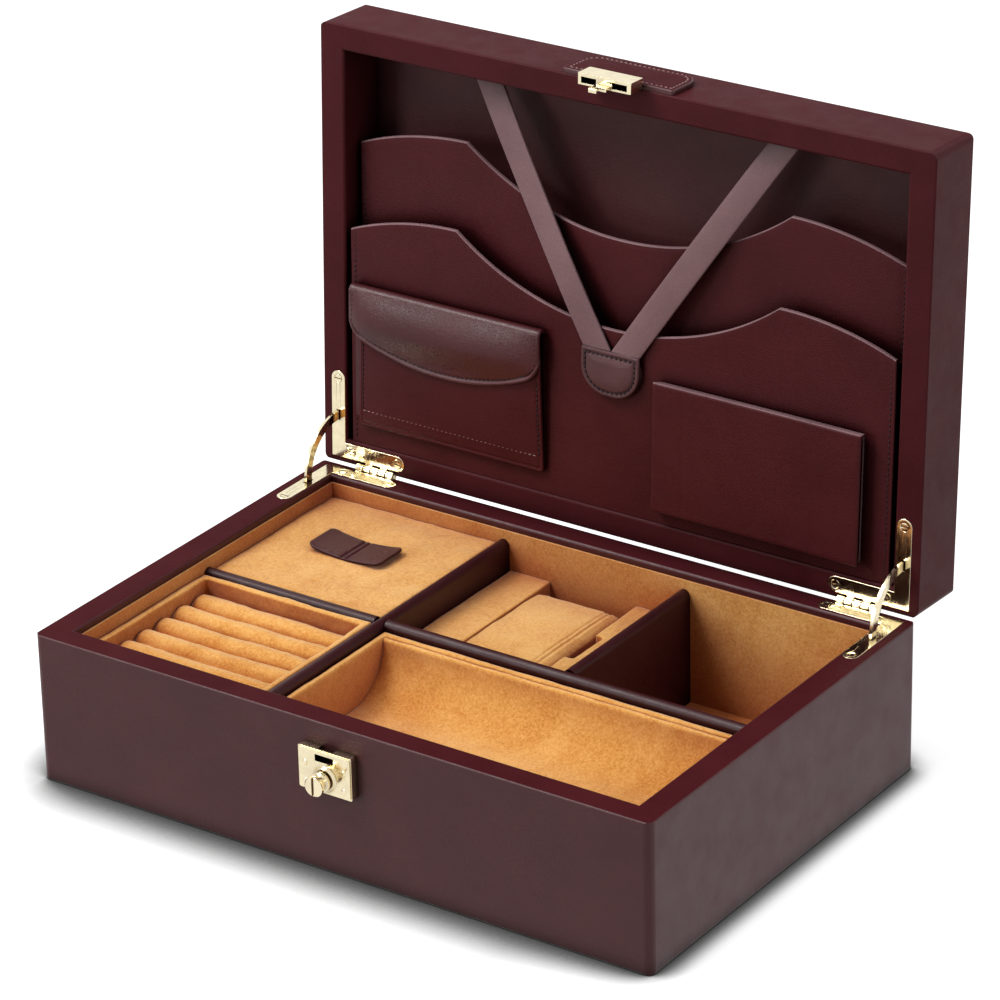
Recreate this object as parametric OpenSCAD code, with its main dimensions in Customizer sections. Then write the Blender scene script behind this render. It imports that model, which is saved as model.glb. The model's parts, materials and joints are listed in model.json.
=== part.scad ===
// Watch and jewellery box: a leather-covered base with suede trays, and a hinged lid with pockets.
// Millimetres, +Z up, front towards -Y, origin under the middle of the base. The lid stands open.

/* [Box] */
// Outside width, left to right
box_w = 302; // [280:1:340]
// Outside depth, front to back
box_d = 202; // [190:1:230]
// Height of the base
base_h = 67.4; // [64:0.2:80]
// Height of the lid
lid_h = 30.2; // [29:0.2:40]
// Thickness of the leather-covered walls
wall = 11.4; // [10.6:0.2:14]
// Thickness of the side walls
side_wall = 12.4; // [11.6:0.2:15]
// Thickness of the board that closes the lid
lid_top_t = 4; // [3:0.5:5]
// Thickness of the floor board
floor_t = 5.4; // [4:0.2:8]
// Thickness of the felt under the floor board
pad_t = 0.8; // [0.6:0.2:2]
// Rounding of the outside edges
edge_r = 0.8; // [0.6:0.2:2.4]
// Rounding of the inside edge of the rims
rim_r = 1.4; // [0.4:0.2:1.4]
// Rounding of the upright corners
corner_r = 3.5; // [2:0.5:5]
// Gap between the rims when the lid is shut
rim_gap = 0.4; // [0.3:0.1:0.8]
// Angle at which the stays hold the lid open
open_deg = 92.5; // [88:0.5:96]

/* [Lining] */
// Thickness of the suede lining on its card
lining_t = 1; // [0.8:0.2:1.6]
// Leather turned down inside the rim, above the suede
turn_in = 3.4; // [2:0.2:6]
// Thickness of the leather panel inside the lid
lid_lining_t = 1; // [0.8:0.2:1.6]

/* [Dividers] */
// Thickness of the dividers
div_t = 5.6; // [4:0.2:7]
// Distance from the base's rim down to the dividers
div_drop = 7.4; // [7.1:0.1:12]
// Middle of the left-to-right divider, from the middle of the box
div_y = -1.4; // [-8:0.2:8]
// Middle of the left front-to-back divider, from the middle of the box
cross_x = -46; // [-52:0.1:-42]
// Middle of the short divider by the deep bay, from the middle of the box
short_x = 46; // [42:0.1:52]

/* [Ring tray] */
// Gap round the fixed trays
tray_gap = 0.5; // [0.3:0.1:1]
// Distance from the base's rim down to the ring tray
ring_drop = 8.9; // [8.5:0.1:14]
// Thickness of the ring tray's padded frame
ring_frame_t = 3; // [2.5:0.5:6]
// Number of ring rolls
ring_rolls_n = 6; // [4:1:8]
// Distance from the top of the frame down to the top of the rolls
roll_drop = 5.2; // [4:0.1:9]
// Height of the rolls above the deck they are glued to
roll_h = 8; // [7:0.2:10]
// Rounding of the rolls' ends
roll_end_r = 2.4; // [2:0.2:4]
// Gap between two rolls
roll_gap = 0.3; // [0.2:0.1:0.8]

/* [Scoop tray] */
// Distance from the base's rim down to the scoop tray
scoop_drop = 11.4; // [9:0.2:16]
// Thickness of the scoop tray's frame
scoop_frame_t = 2.4; // [2:0.1:4]
// Distance from the frame's top down to the curved sheet's edges
scoop_lip = 0.7; // [0.4:0.1:1.5]
// Depth of the scoop below the sheet's edges
scoop_depth = 22.8; // [16:0.2:28]
// Thickness of the curved sheet
scoop_t = 2.2; // [1.5:0.1:3]

/* [Watch holder] */
// Distance from the base's rim down to the ledges beside the pillow
ledge_drop = 21.7; // [18:0.1:26]
// Width of the well between the ledges
well_w = 44; // [42:0.2:50]
// Distance from the well's middle to the middle of the box, to the right
well_x = 0; // [-2:0.2:4]
// Height of the deck under the pillow, above the floor lining
deck_h = 18.8; // [10:0.2:24]
// Width of the finger notch in the right ledge
notch_w = 4.2; // [2.5:0.1:6]
// Length of the finger notch
notch_l = 23; // [16:0.5:30]
// Depth of the finger notch
notch_h = 15; // [8:0.5:20]
// Width of the watch pillow
pillow_w = 42; // [36:0.5:42]
// Finger gap behind the pillow
pillow_gap = 10.4; // [8:0.2:20]
// Gap between the pillow and what is round it
pillow_clear = 0.6; // [0.5:0.1:2]
// Crown of the pillow above its edges
pillow_crown = 0.8; // [0.4:0.1:2]
// Fall of the pillow's top at its right end, and its share at the other edges
pillow_edge = 3.2; // [1.5:0.1:4]
pillow_edge_share = 0.2; // [0.1:0.05:1]

/* [Cover] */
// Distance from the base's rim down to the cover over the left compartment
cover_drop = 9.7; // [9.6:0.1:14]
// Thickness of the padded cover
cover_t = 4.5; // [3:0.1:6]
// Gap round the cover
cover_gap = 0.6; // [0.4:0.1:1]
// Gap under each lift-out piece
seat_gap = 0.3; // [0.2:0.05:0.5]
// Width of the strips that carry the cover
strip_w = 4; // [3:0.5:6]
// Height of the strips
strip_h = 3; // [2:0.5:5]
// Length of the pull tab's two wings together
tab_l = 38; // [30:1:44]
// Width of the pull tab
tab_w = 19; // [14:0.5:24]
// Thickness of the pull tab
tab_t = 1.3; // [1:0.1:1.4]
// Rise of the pull tab's wing tips
tab_rise = 2.6; // [1:0.1:2.6]
// Shift of the pull tab from the cover's middle towards the left
tab_left = 1.8; // [-4:0.2:6]
// Shift of the pull tab from the cover's middle towards the back
tab_back = 2.5; // [-6:0.5:6]

/* [Pockets] */
// Depth of the lower pocket's face behind the lid's rim
low_u = 0.8; // [0.6:0.1:2]
// Depth of the upper pocket's face behind the lid's rim
high_u = 8.6; // [7.8:0.1:10]
// Thickness of the pocket panels
pocket_t = 1.6; // [1.2:0.1:2]
// Gap between a pocket's side edge and the lid's wall
pocket_side = 2.4; // [1.5:0.1:4]
// Lowest point of the lower pocket's mouth, from the lid's hinge face
low_dip = 93.6; // [91:0.2:100]
// Lowest point of the upper pocket's mouth, from the lid's hinge face
high_dip = 131; // [126:0.2:140]
// Rise of a pocket's mouth from its dip to its knees
knee_rise = 27.6; // [20:0.2:29]
// Distance of the knees from the middle of the box
knee_x = 80.5; // [74:0.5:86]
// Fall of a pocket's mouth from its knees to the sides
side_fall = 10.6; // [6:0.2:14]
// Thickness of the strips that close the pockets' sides and feet
gusset_t = 1.6; // [1.2:0.1:2.4]

/* [Straps] */
// Width of the two straps
strap_w = 12; // [9:0.2:13]
// Thickness of the straps
strap_t = 1.2; // [1:0.1:1.4]
// Distance of the left strap's upper end from the middle of the box
strap_left_x = 73; // [64:0.5:80]
// Distance of the right strap's upper end from the middle of the box
strap_right_x = 76.5; // [64:0.5:80]
// Depth of a strap's upper end behind the lid's rim
strap_u = 11; // [9:0.2:11.5]
// Width of the sewn tab that holds the straps
strap_tab_w = 29; // [28:0.2:34]
// Height of the sewn tab
strap_tab_h = 20.4; // [16:0.2:24]
// Thickness of the sewn tab
strap_tab_t = 3.2; // [3.2:0.1:3.6]
// Upper edge of the sewn tab, from the lid's hinge face
strap_tab_v = 84.6; // [80:0.2:85]

/* [Purse] */
// Width of the purse
purse_w = 93; // [80:0.5:96]
// Gap between the purse and the lid's left wall
purse_in = 6.6; // [5:0.1:12]
// Lower edge of the purse, from the lid's hinge face
purse_v = 24.5; // [20:0.5:28]
// Height of the purse up to the turn of its flap
purse_h = 59.5; // [52:0.5:62]
// Thickness of the purse without its flap
purse_t = 5.1; // [4.6:0.1:5.2]
// Thickness of the purse's leather
skin_t = 1.1; // [0.9:0.1:1.3]
// Gap between the flap and the purse
flap_gap = 0.3; // [0.2:0.1:0.4]
// Overhang of the flap on each side
flap_over = 1.3; // [0.5:0.1:2]
// Length of the flap's straight sides below the turn
flap_side = 18; // [12:0.5:24]
// Bow of the flap's lower edge
flap_bow = 12; // [8:0.5:16]

/* [Folder] */
// Gap between the folder and the lid's right wall
folder_in = 16.1; // [8:0.1:24]
// Height of the folder
folder_h = 58.5; // [50:0.5:62]
// Gap between the folder and the sewn tab
folder_gap = 8.5; // [4:0.1:16]
// Lower edge of the folder, from the lid's hinge face
folder_v = 18.5; // [16:0.5:24]
// Thickness of the folder's back
folder_back_t = 1.2; // [1:0.1:1.5]
// Thickness of the folder's cover
folder_cover_t = 1.5; // [1.2:0.1:1.7]
// Height of the folder's spine between back and cover
folder_spine = 2.7; // [2:0.1:3]

/* [Hinges] */
// Distance of the hinge pins behind the back faces
pin_back = 0.5; // [0.4:0.1:1]
// Width of the hinge plates
leaf_w = 7.2; // [6.6:0.1:7.6]
// Thickness of the hinge plates
leaf_t = 1.6; // [1.2:0.1:2]
// Reach of the plates along the walls from the outside faces
leaf_reach = 43; // [41:0.5:48]
// Middle of the plates along the side walls, from the outside faces
leaf_side_in = 7.8; // [7.2:0.1:7.8]
// Middle of the plates along the back walls, from the outside faces
leaf_back_in = 5.9; // [5.9:0.1:6.6]
// Radius of the hinge pins
pin_r = 1; // [0.8:0.05:1.2]
// Running clearance round the hinge pins
pin_clear = 0.05; // [0.03:0.01:0.1]
// Radius of the knuckles
barrel_r = 2.1; // [1.8:0.05:2.3]
// Length of one knuckle
knuckle_l = 4; // [3.5:0.1:4.5]
// Distance of the knuckles from the outside of the side walls
knuckle_in = 18; // [17.5:0.5:20]
// Radius of the hinge screws' heads
screw_head_r = 1.9; // [1.6:0.1:2.2]
// Radius of the hinge screws' shanks
screw_r = 1; // [0.8:0.1:1.2]
// Length of the hinge screws
screw_l = 9; // [7:0.5:12]

/* [Stays] */
// Radius of the quadrant stays about the hinge pins
stay_r = 22.7; // [21:0.1:24]
// Width of the stays
stay_w = 4; // [3:0.1:4.6]
// Thickness of the stays
stay_t = 1.2; // [1:0.1:1.6]
// Gap round a stay in its slot
stay_gap = 0.4; // [0.3:0.05:0.5]
// Radius of the stop pins at a stay's ends
stop_r = 1.4; // [1:0.1:1.6]
// Length of the stop pins
stop_l = 3.2; // [2.8:0.1:3.4]

/* [Lock] */
// Width of the lock case
lock_w = 26; // [24:0.5:32]
// Height of the lock case
lock_h = 19; // [18.5:0.5:24]
// Distance from the base's rim down to the lock case
lock_drop = 10; // [9.8:0.1:13]
// Depth of the lock case in front of the base
lock_t = 4.5; // [4.3:0.1:5.2]
// Thickness of the lock case's sheet
lock_sheet = 1.2; // [1:0.1:1.2]
// Distance from the top of the case down to the knob's axis
knob_drop = 12.4; // [12:0.1:13]
// Radius of the knob
knob_r = 4.3; // [3.6:0.1:5]
// Length of the knob in front of its rose
knob_l = 6.6; // [5:0.2:8]
// Radius of the knob's rose
rose_r = 5.8; // [5.4:0.1:6.2]
// Travel of the bolt
bolt_travel = 5; // [4.6:0.1:5.4]
// Thickness of the bolt
bolt_t = 1.4; // [1.2:0.1:1.5]
// Width of the window in the lock's face
window_w = 9; // [7:0.5:10]
// Height of the window
window_h = 3; // [2.4:0.1:3.4]

/* [Hasp] */
// Width of the hasp
hasp_w = 26; // [24:0.5:32]
// Length of the hasp below the lid's rim
hasp_l = 9.4; // [8.5:0.1:9.4]
// Depth of the hasp in front of the lid
hasp_t = 5.2; // [4.6:0.1:6]
// Thickness of the hasp's metal
hasp_sheet = 1.3; // [1:0.1:1.4]
// Width of the tongue that drops into the lock
tongue_w = 6.4; // [5.6:0.1:7]
// Thickness of the tongue
tongue_t = 1.6; // [1.4:0.1:1.7]
// Width of the leather tab over the hasp's foot
hasp_tab_w = 54.4; // [44:0.2:64]
// Height of the leather tab on the lid
hasp_tab_h = 22; // [18:0.5:25]
// Thickness of the leather tab
hasp_tab_t = 2.4; // [2:0.1:3.4]

/* [Hidden] */
$fn = 64;

LEATHER = "#4a1f26";
DARK_LEATHER = "#351418";
SUEDE = "#d69a52";
FELT = "#2c2320";
GOLD = "#d9bf7c";

// Overshoot of cutting shapes past the faces they cut
over = 1;
// Small clearances between parts that are fixed to each other
fit = 0.1;

half_w = box_w / 2;
half_d = box_d / 2;
in_w = half_w - side_wall;
in_d = half_d - wall;
lined_w = in_w - lining_t;
lined_d = in_d - lining_t;
floor_z = pad_t + floor_t + lining_t;
div_z = base_h - div_drop;

// The closed lid's rim, and the hinge axis between the two rims
rim_z = base_h + rim_gap;
hinge_y = half_d + pin_back;
hinge_z = base_h + rim_gap / 2;

// Faces of the bays between the dividers
front_bay_y = div_y - div_t / 2;
back_bay_y = div_y + div_t / 2;
left_bay_x = cross_x - div_t / 2;
mid_bay_x0 = cross_x + div_t / 2;
mid_bay_x1 = short_x - div_t / 2;

// Ring tray
ring_z = base_h - ring_drop;
ring_x0 = -lined_w + tray_gap;
ring_x1 = left_bay_x - tray_gap;
tray_y0 = -lined_d + tray_gap;
tray_y1 = front_bay_y - tray_gap;
roll_pitch = (tray_y1 - tray_y0 - 2 * ring_frame_t) / ring_rolls_n;
roll_r = (roll_pitch - roll_gap) / 2;
roll_z = ring_z - roll_drop - roll_r;
ring_deck_z = ring_z - roll_drop - roll_h;

// Scoop tray
scoop_z = base_h - scoop_drop;
scoop_x0 = mid_bay_x0 + tray_gap;
scoop_x1 = lined_w - tray_gap;
sheet_z = scoop_z - scoop_lip;
sheet_in = scoop_frame_t + fit;
scoop_y0 = tray_y0 + sheet_in + scoop_t + scoop_depth;
scoop_y1 = tray_y1 - sheet_in - scoop_t - scoop_depth;

// Watch holder
ledge_z = base_h - ledge_drop;
well_x0 = well_x - well_w / 2;
well_x1 = well_x + well_w / 2;
deck_z = floor_z + deck_h;
pillow_x0 = well_x0 + pillow_clear;
pillow_y0 = back_bay_y + pillow_gap;
pillow_y1 = lined_d - pillow_gap;
pillow_z = deck_z + seat_gap;
pillow_h = ledge_z - pillow_z;
bay_mid_y = (back_bay_y + lined_d) / 2;

// Cover over the left compartment
cover_z = base_h - cover_drop - cover_t;
cover_x0 = -lined_w + cover_gap;
cover_x1 = left_bay_x - cover_gap;
cover_y0 = back_bay_y + cover_gap;
cover_y1 = lined_d - cover_gap;

// Pockets
pocket_half = in_w - pocket_side;
pocket_foot = wall + fit;
lining_u = lid_h - lid_top_t - lid_lining_t;
knee_r = (knee_x * knee_x + knee_rise * knee_rise) / (2 * knee_rise);
side_run = pocket_half - knee_x;
side_r = (side_run * side_run + side_fall * side_fall) / (2 * side_fall);

// Straps, as lines in the lid from the sewn tab to the front wall
strap_foot_x = strap_tab_w / 4;
strap_foot_u = low_u - strap_tab_t;
strap_top_v = box_d - wall - fit;
strap_run_v = strap_top_v - strap_tab_v;

// Purse, and its flap turned over a half round
purse_x = purse_in + purse_w / 2 - in_w;
purse_top = purse_v + purse_h;
turn_r = (purse_t + flap_gap + skin_t) / 2;
turn_u = low_u - turn_r;
flap_w = purse_w + 2 * flap_over;
flap_bow_r = (flap_w * flap_w / 4 + flap_bow * flap_bow) / (2 * flap_bow);
purse_mouth = purse_top - 4;

// Folder
folder_x = strap_tab_w / 2 + folder_gap;
folder_w = in_w - folder_in - folder_x;
folder_front_u = low_u - folder_back_t - folder_spine;

// Hinge plates, drawn for the right-hand side of the base
leg_x = half_w - leaf_side_in;
leg_y = half_d - leaf_back_in;
leaf_end = leaf_reach - leaf_w / 2;
knuckle_n = 5;
knuckle_gap = 0.3;
knuckle_x1 = half_w - knuckle_in;
knuckle_x0 = knuckle_x1 - knuckle_n * knuckle_l;
screw_head_h = leaf_t - 0.3;
SCREWS = [[leg_x, half_d - leaf_end], [half_w - leaf_end, leg_y], [leg_x - leaf_w, leg_y]];

// Stays
stop_deg = asin((leaf_t + rim_gap / 2 + stop_r + seat_gap) / stay_r);
tail_deg = 5;
stay_sink = open_deg / 2 + stop_deg + tail_deg;

// Lock and hasp
lock_top = base_h - lock_drop;
lock_foot = lock_top - lock_h;
knob_z = lock_top - knob_drop;
rose_t = 1.2;
shaft_r = 2.2;
disc_r = 4.6;
disc_t = 0.8;
crank_r = bolt_travel / sqrt(2);
crank_pin_r = 0.8;
crank_x = bolt_travel / 2;
bolt_y = -half_d - 0.5;
mouth_z = lock_top - 3.6;
nose_h = 1.8;
mouth_h = nose_h + 0.8;
nose_x = tongue_w / 2 + 1;
jaw_x = 0.8;
jaw_t = 1;
rivet_x = lock_w / 2 - 3.6;
rivet_r = 0.7;
RIVETS = [[-rivet_x, lock_top - 7.2], [rivet_x, lock_top - 7.2], [-rivet_x, lock_foot + 3.6],
  [rivet_x, lock_foot + 3.6]];
foot_w = 22;
foot_h = 12;
foot_t = 1.2;
hasp_off = 0.4;
HASP_SCREWS = [[-6, 6.5], [6, 6.5]];

// A rectangle with round corners, centred
module rounded_rect(w, d, r) {
  square([w - 2 * r, d], center = true);
  square([w, d - 2 * r], center = true);
  for (x = [-1, 1], y = [-1, 1])
    translate([x * (w / 2 - r), y * (d / 2 - r)]) circle(r);
}

// The waste outside a rounded corner at the origin
module round_off(r) {
  difference() {
    translate([-over, -over]) square(r + over);
    translate([r, r]) circle(r);
  }
}

// Section of a wall t thick: outside face at 0, rim at the top
module wall_section(t, h) {
  difference() {
    square([t, h]);
    round_off(edge_r);
    translate([0, h]) mirror([0, 1]) round_off(edge_r);
    translate([t, h]) rotate(180) round_off(rim_r);
  }
}

// A wall t thick on the -Y side of a frame, mitred at both ends to walls end_t thick
module mitred_wall(run, across, h, t, end_t) {
  intersection() {
    translate([0, -across / 2, 0]) rotate([90, 0, 90])
      linear_extrude(run, center = true) wall_section(t, h);
    translate([0, 0, -over]) linear_extrude(h + 2 * over) intersection() {
      polygon([[-run / 2, -across / 2], [run / 2, -across / 2],
        [run / 2 - end_t, t - across / 2], [end_t - run / 2, t - across / 2]]);
      rounded_rect(run, across, corner_r);
    }
  }
}

// One of the four walls of the box: turned 0 front, 90 right, 180 back, 270 left
module box_wall(turn, h) {
  lengthwise = turn % 180 == 0;
  rotate(turn) mitred_wall(lengthwise ? box_w : box_d, lengthwise ? box_d : box_w, h,
    lengthwise ? wall : side_wall, lengthwise ? side_wall : wall);
}

// Turns a piece over about the plane between the two rims, from the base to the closed lid
module flipped() {
  translate([0, 0, 2 * hinge_z]) mirror([0, 0, 1]) children();
}

// Swings a piece of the closed lid to where the stays hold it
module opened() {
  translate([0, hinge_y, hinge_z]) rotate([-open_deg, 0, 0]) translate([0, -hinge_y, -hinge_z]) children();
}

// Draws in the lid: x across, y away from the hinge face, z into the lid from its rim
module in_lid(x, v, u) {
  opened() translate([0, half_d, rim_z]) mirror([0, 1, 0]) translate([x, v, u]) children();
}

module both_sides() {
  children();
  mirror([1, 0, 0]) children();
}

// Hinge plate outline on the right, seen from above, w wide
module leaf_plan(w) {
  translate([leg_x - w / 2, half_d - leaf_end]) square([w, leaf_end - leaf_back_in + w / 2]);
  translate([leg_x, half_d - leaf_end]) circle(w / 2);
  translate([half_w - leaf_end, leg_y - w / 2]) square([leaf_end - leaf_side_in + w / 2, w]);
  translate([half_w - leaf_end, leg_y]) circle(w / 2);
}

// Countersunk screw with its head's top at 0, or the hole for one, larger by grow
module hinge_screw(grow) {
  translate([0, 0, -screw_head_h - grow])
    cylinder(screw_head_h + 2 * grow, screw_r + grow, screw_head_r + 2 * grow);
  translate([0, 0, -screw_l - grow]) cylinder(screw_l, r = screw_r + grow);
}

module at_screws() {
  for (p = SCREWS)
    translate([p[0], p[1], base_h]) children();
}

// Arc in the plane of the side walls: angles from the base's rim, about the hinge axis
module arc_plate(r0, r1, a0, a1, t) {
  reach = 2 * r1;
  steps = 4;
  translate([leg_x, hinge_y, hinge_z]) mirror([0, 1, 0]) rotate([90, 0, 90])
    linear_extrude(t, center = true) intersection() {
      difference() {
        circle(r1);
        circle(r0);
      }
      polygon(concat([[0, 0]], [for (i = [0:steps])
        let (a = a0 + (a1 - a0) * i / steps) reach * [cos(a), sin(a)]]));
    }
}

// Everything that a hinge plate, its knuckles, screws and stay take out of the walls
module hinge_seat() {
  translate([0, 0, base_h - leaf_t]) linear_extrude(leaf_t + over) leaf_plan(leaf_w + 2 * fit);
  translate([knuckle_x0 - 0.5, leg_y + leaf_w / 2 - over, hinge_z - barrel_r - 0.5])
    cube([knuckle_x1 - knuckle_x0 + 1, leaf_back_in + over, barrel_r + 0.5 + over]);
  at_screws() hinge_screw(fit);
  arc_plate(stay_r - stay_w / 2 - stay_gap, stay_r + stay_w / 2 + stay_gap, -stay_sink - 2, 3,
    stop_l + 2 * stay_gap);
}

// Base walls
module base_front_wall() {
  color(LEATHER) difference() {
    box_wall(0, base_h);
    for (p = RIVETS)
      translate([p[0], -half_d - over, p[1]]) rotate([-90, 0, 0]) cylinder(5 + over, r = rivet_r + fit);
  }
}

module base_back_wall() {
  color(LEATHER) difference() {
    box_wall(180, base_h);
    both_sides() hinge_seat();
  }
}

module base_right_wall() {
  color(LEATHER) difference() {
    box_wall(90, base_h);
    hinge_seat();
  }
}

module base_left_wall() {
  color(LEATHER) difference() {
    box_wall(270, base_h);
    mirror([1, 0, 0]) hinge_seat();
  }
}

module base_floor() {
  color("burlywood") translate([-in_w, -in_d, pad_t]) cube([2 * in_w, 2 * in_d, floor_t]);
}

module base_pad() {
  color(FELT) translate([-in_w, -in_d, 0]) cube([2 * in_w, 2 * in_d, pad_t]);
}

// Suede linings: four strips round the walls, and a sheet on the floor
module wall_lining() {
  h = base_h - turn_in - floor_z;
  color(SUEDE) translate([0, 0, floor_z]) for (s = [-1, 1]) {
    translate([s * (in_w - lining_t / 2), 0, h / 2]) cube([lining_t, 2 * lined_d - 2 * fit, h], center = true);
    translate([0, s * (in_d - lining_t / 2), h / 2]) cube([2 * in_w, lining_t, h], center = true);
  }
}

module floor_lining() {
  color(SUEDE) translate([-in_w, -in_d, floor_z - lining_t]) cube([2 * in_w, 2 * in_d, lining_t]);
}

// A divider on edge with a half-round top, running along X from x0 to x1
module divider(x0, x1) {
  h = div_z - floor_z;
  translate([x0, 0, floor_z]) rotate([90, 0, 90]) linear_extrude(x1 - x0) {
    translate([-div_t / 2, 0]) square([div_t, h - div_t / 2]);
    translate([0, h - div_t / 2]) circle(div_t / 2);
  }
}

// The long and cross dividers are halved into each other
module long_divider() {
  color(DARK_LEATHER) difference() {
    translate([0, div_y, 0]) divider(-lined_w, lined_w);
    translate([cross_x - div_t / 2, div_y - div_t, (floor_z + div_z) / 2])
      cube([div_t, 2 * div_t, div_z]);
  }
}

module cross_divider() {
  color(DARK_LEATHER) difference() {
    translate([cross_x, 0, 0]) rotate(90) divider(-lined_d, lined_d);
    translate([cross_x - div_t, div_y - div_t / 2, floor_z - over])
      cube([2 * div_t, div_t, (div_z - floor_z) / 2 + over]);
  }
}

module short_divider() {
  color(DARK_LEATHER) translate([short_x, 0, 0]) rotate(90) divider(back_bay_y, lined_d);
}

// Ring tray: a padded frame round a deck, with the rolls glued on the deck
module ring_tray() {
  w = ring_x1 - ring_x0;
  d = tray_y1 - tray_y0;
  color(SUEDE) difference() {
    translate([ring_x0, tray_y0, floor_z]) cube([w, d, ring_z - floor_z]);
    translate([ring_x0 + ring_frame_t, tray_y0 + ring_frame_t, ring_deck_z])
      cube([w - 2 * ring_frame_t, d - 2 * ring_frame_t, ring_z]);
    translate([ring_x0 + ring_frame_t, tray_y0 + ring_frame_t, floor_z - over])
      cube([w - 2 * ring_frame_t, d - 2 * ring_frame_t, ring_deck_z - ring_frame_t - floor_z + over]);
  }
}

// Half section of a roll: a rod with its end edges rounded
module roll_section(l) {
  intersection() {
    square([roll_r, l]);
    union() {
      square([roll_r - roll_end_r, l]);
      translate([0, roll_end_r]) square([roll_r, l - 2 * roll_end_r]);
      for (y = [roll_end_r, l - roll_end_r])
        translate([roll_r - roll_end_r, y]) circle(roll_end_r);
    }
  }
}

// Rolls with rounded ends, cut flat where they are glued down
module ring_rolls() {
  l = ring_x1 - ring_x0 - 2 * ring_frame_t - 2 * fit;
  color(SUEDE) for (i = [0:ring_rolls_n - 1])
    intersection() {
      translate([ring_x0 + ring_frame_t + fit, tray_y0 + ring_frame_t + (i + 0.5) * roll_pitch, roll_z])
        rotate([0, 90, 0]) rotate_extrude() roll_section(l);
      translate([ring_x0, tray_y0, ring_deck_z]) cube([ring_x1 - ring_x0, tray_y1 - tray_y0, roll_drop + roll_h]);
    }
}

// Scoop tray: a frame of four walls, and a curved sheet between them
module scoop_frame() {
  w = scoop_x1 - scoop_x0;
  d = tray_y1 - tray_y0;
  color(SUEDE) difference() {
    translate([scoop_x0, tray_y0, floor_z]) cube([w, d, scoop_z - floor_z]);
    translate([scoop_x0 + scoop_frame_t, tray_y0 + scoop_frame_t, floor_z - over])
      cube([w - 2 * scoop_frame_t, d - 2 * scoop_frame_t, scoop_z]);
  }
}

// The scoop seen from the side: a quarter round at the front and back, flat between
module scoop_section(grow) {
  for (y = [scoop_y0, scoop_y1])
    translate([y, sheet_z]) circle(scoop_depth + grow);
  translate([scoop_y0, sheet_z - scoop_depth - grow]) square([scoop_y1 - scoop_y0, 2 * scoop_depth]);
}

module scoop_sheet() {
  color(SUEDE) translate([scoop_x0 + sheet_in, 0, 0]) rotate([90, 0, 90])
    linear_extrude(scoop_x1 - scoop_x0 - 2 * sheet_in) difference() {
      intersection() {
        scoop_section(scoop_t);
        translate([tray_y0, floor_z]) square([tray_y1 - tray_y0, sheet_z - floor_z]);
      }
      scoop_section(0);
    }
}

// Watch holder: two ledges and a deck, and the pillow between them
module watch_ledge_left() {
  color(SUEDE) translate([mid_bay_x0 + fit, back_bay_y + fit, floor_z])
    cube([well_x0 - mid_bay_x0 - fit, lined_d - back_bay_y - 2 * fit, ledge_z - floor_z]);
}

module watch_ledge_right() {
  color(SUEDE) difference() {
    translate([well_x1, back_bay_y + fit, floor_z])
      cube([mid_bay_x1 - well_x1 - fit, lined_d - back_bay_y - 2 * fit, ledge_z - floor_z]);
    translate([well_x1 - over, bay_mid_y - notch_l / 2, ledge_z - notch_h])
      cube([notch_w + over, notch_l, notch_h + over]);
  }
}

module watch_deck() {
  color(SUEDE) translate([well_x0, back_bay_y + fit, floor_z])
    cube([well_w, lined_d - back_bay_y - 2 * fit, deck_h]);
}

// Swell of the pillow's top and draw of its sides, for shares p and q from -1 to 1 of its width and length
function pillow_swell(p, q) =
  (1 - (p > 0 ? 1 : pillow_edge_share) * pow(p, 8)) * (1 - pillow_edge_share * pow(q, 8));
function pillow_draw(q) = 1 - 0.015 * (1 - q * q);

// A cushion on a square grid: top crowned, sides drawn in between the corners, flat underneath
module cushion(w, l, h, n) {
  shares = [for (i = [0:n]) sin(180 * i / n - 90)];
  top = [for (q = shares, p = shares)
    let (bow = pillow_crown * (1 - p * p) * (1 - q * q))
    [p * w / 2 * pillow_draw(q), q * l / 2 * pillow_draw(p), h - pillow_edge * (1 - pillow_swell(p, q)) + bow]];
  foot = [for (q = shares, p = shares) [p * w * 0.47, q * l * 0.48, 0]];
  m = n + 1;
  c = m * m;
  ring = concat([for (i = [0:n - 1]) i], [for (i = [0:n - 1]) i * m + n],
    [for (i = [0:n - 1]) c - 1 - i], [for (i = [0:n - 1]) (n - i) * m]);
  k = len(ring);
  faces = concat(
    [for (j = [0:n - 1], i = [0:n - 1]) let (a = j * m + i) each [[a, a + m, a + 1], [a + 1, a + m, a + m + 1]]],
    [for (j = [0:n - 1], i = [0:n - 1])
      let (a = c + j * m + i) each [[a, a + 1, a + m], [a + 1, a + m + 1, a + m]]],
    [for (i = [0:k - 1]) let (a = ring[i], b = ring[(i + 1) % k]) each [[a, b, c + a], [b, c + b, c + a]]]);
  translate([w / 2, l / 2, 0]) polyhedron(concat(top, foot), faces);
}

module watch_pillow() {
  color(SUEDE) translate([pillow_x0, pillow_y0, pillow_z])
    cushion(pillow_w, pillow_y1 - pillow_y0, pillow_h, 16);
}

// Lift-out cover over the left compartment
module cover_strips() {
  color(SUEDE) for (x = [-lined_w, left_bay_x - strip_w])
    translate([x, back_bay_y + fit, cover_z - seat_gap - strip_h])
      cube([strip_w, lined_d - back_bay_y - 2 * fit, strip_h]);
}

module cover_panel() {
  color(SUEDE) translate([(cover_x0 + cover_x1) / 2, (cover_y0 + cover_y1) / 2, cover_z])
    linear_extrude(cover_t) rounded_rect(cover_x1 - cover_x0, cover_y1 - cover_y0, 1);
}

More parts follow.
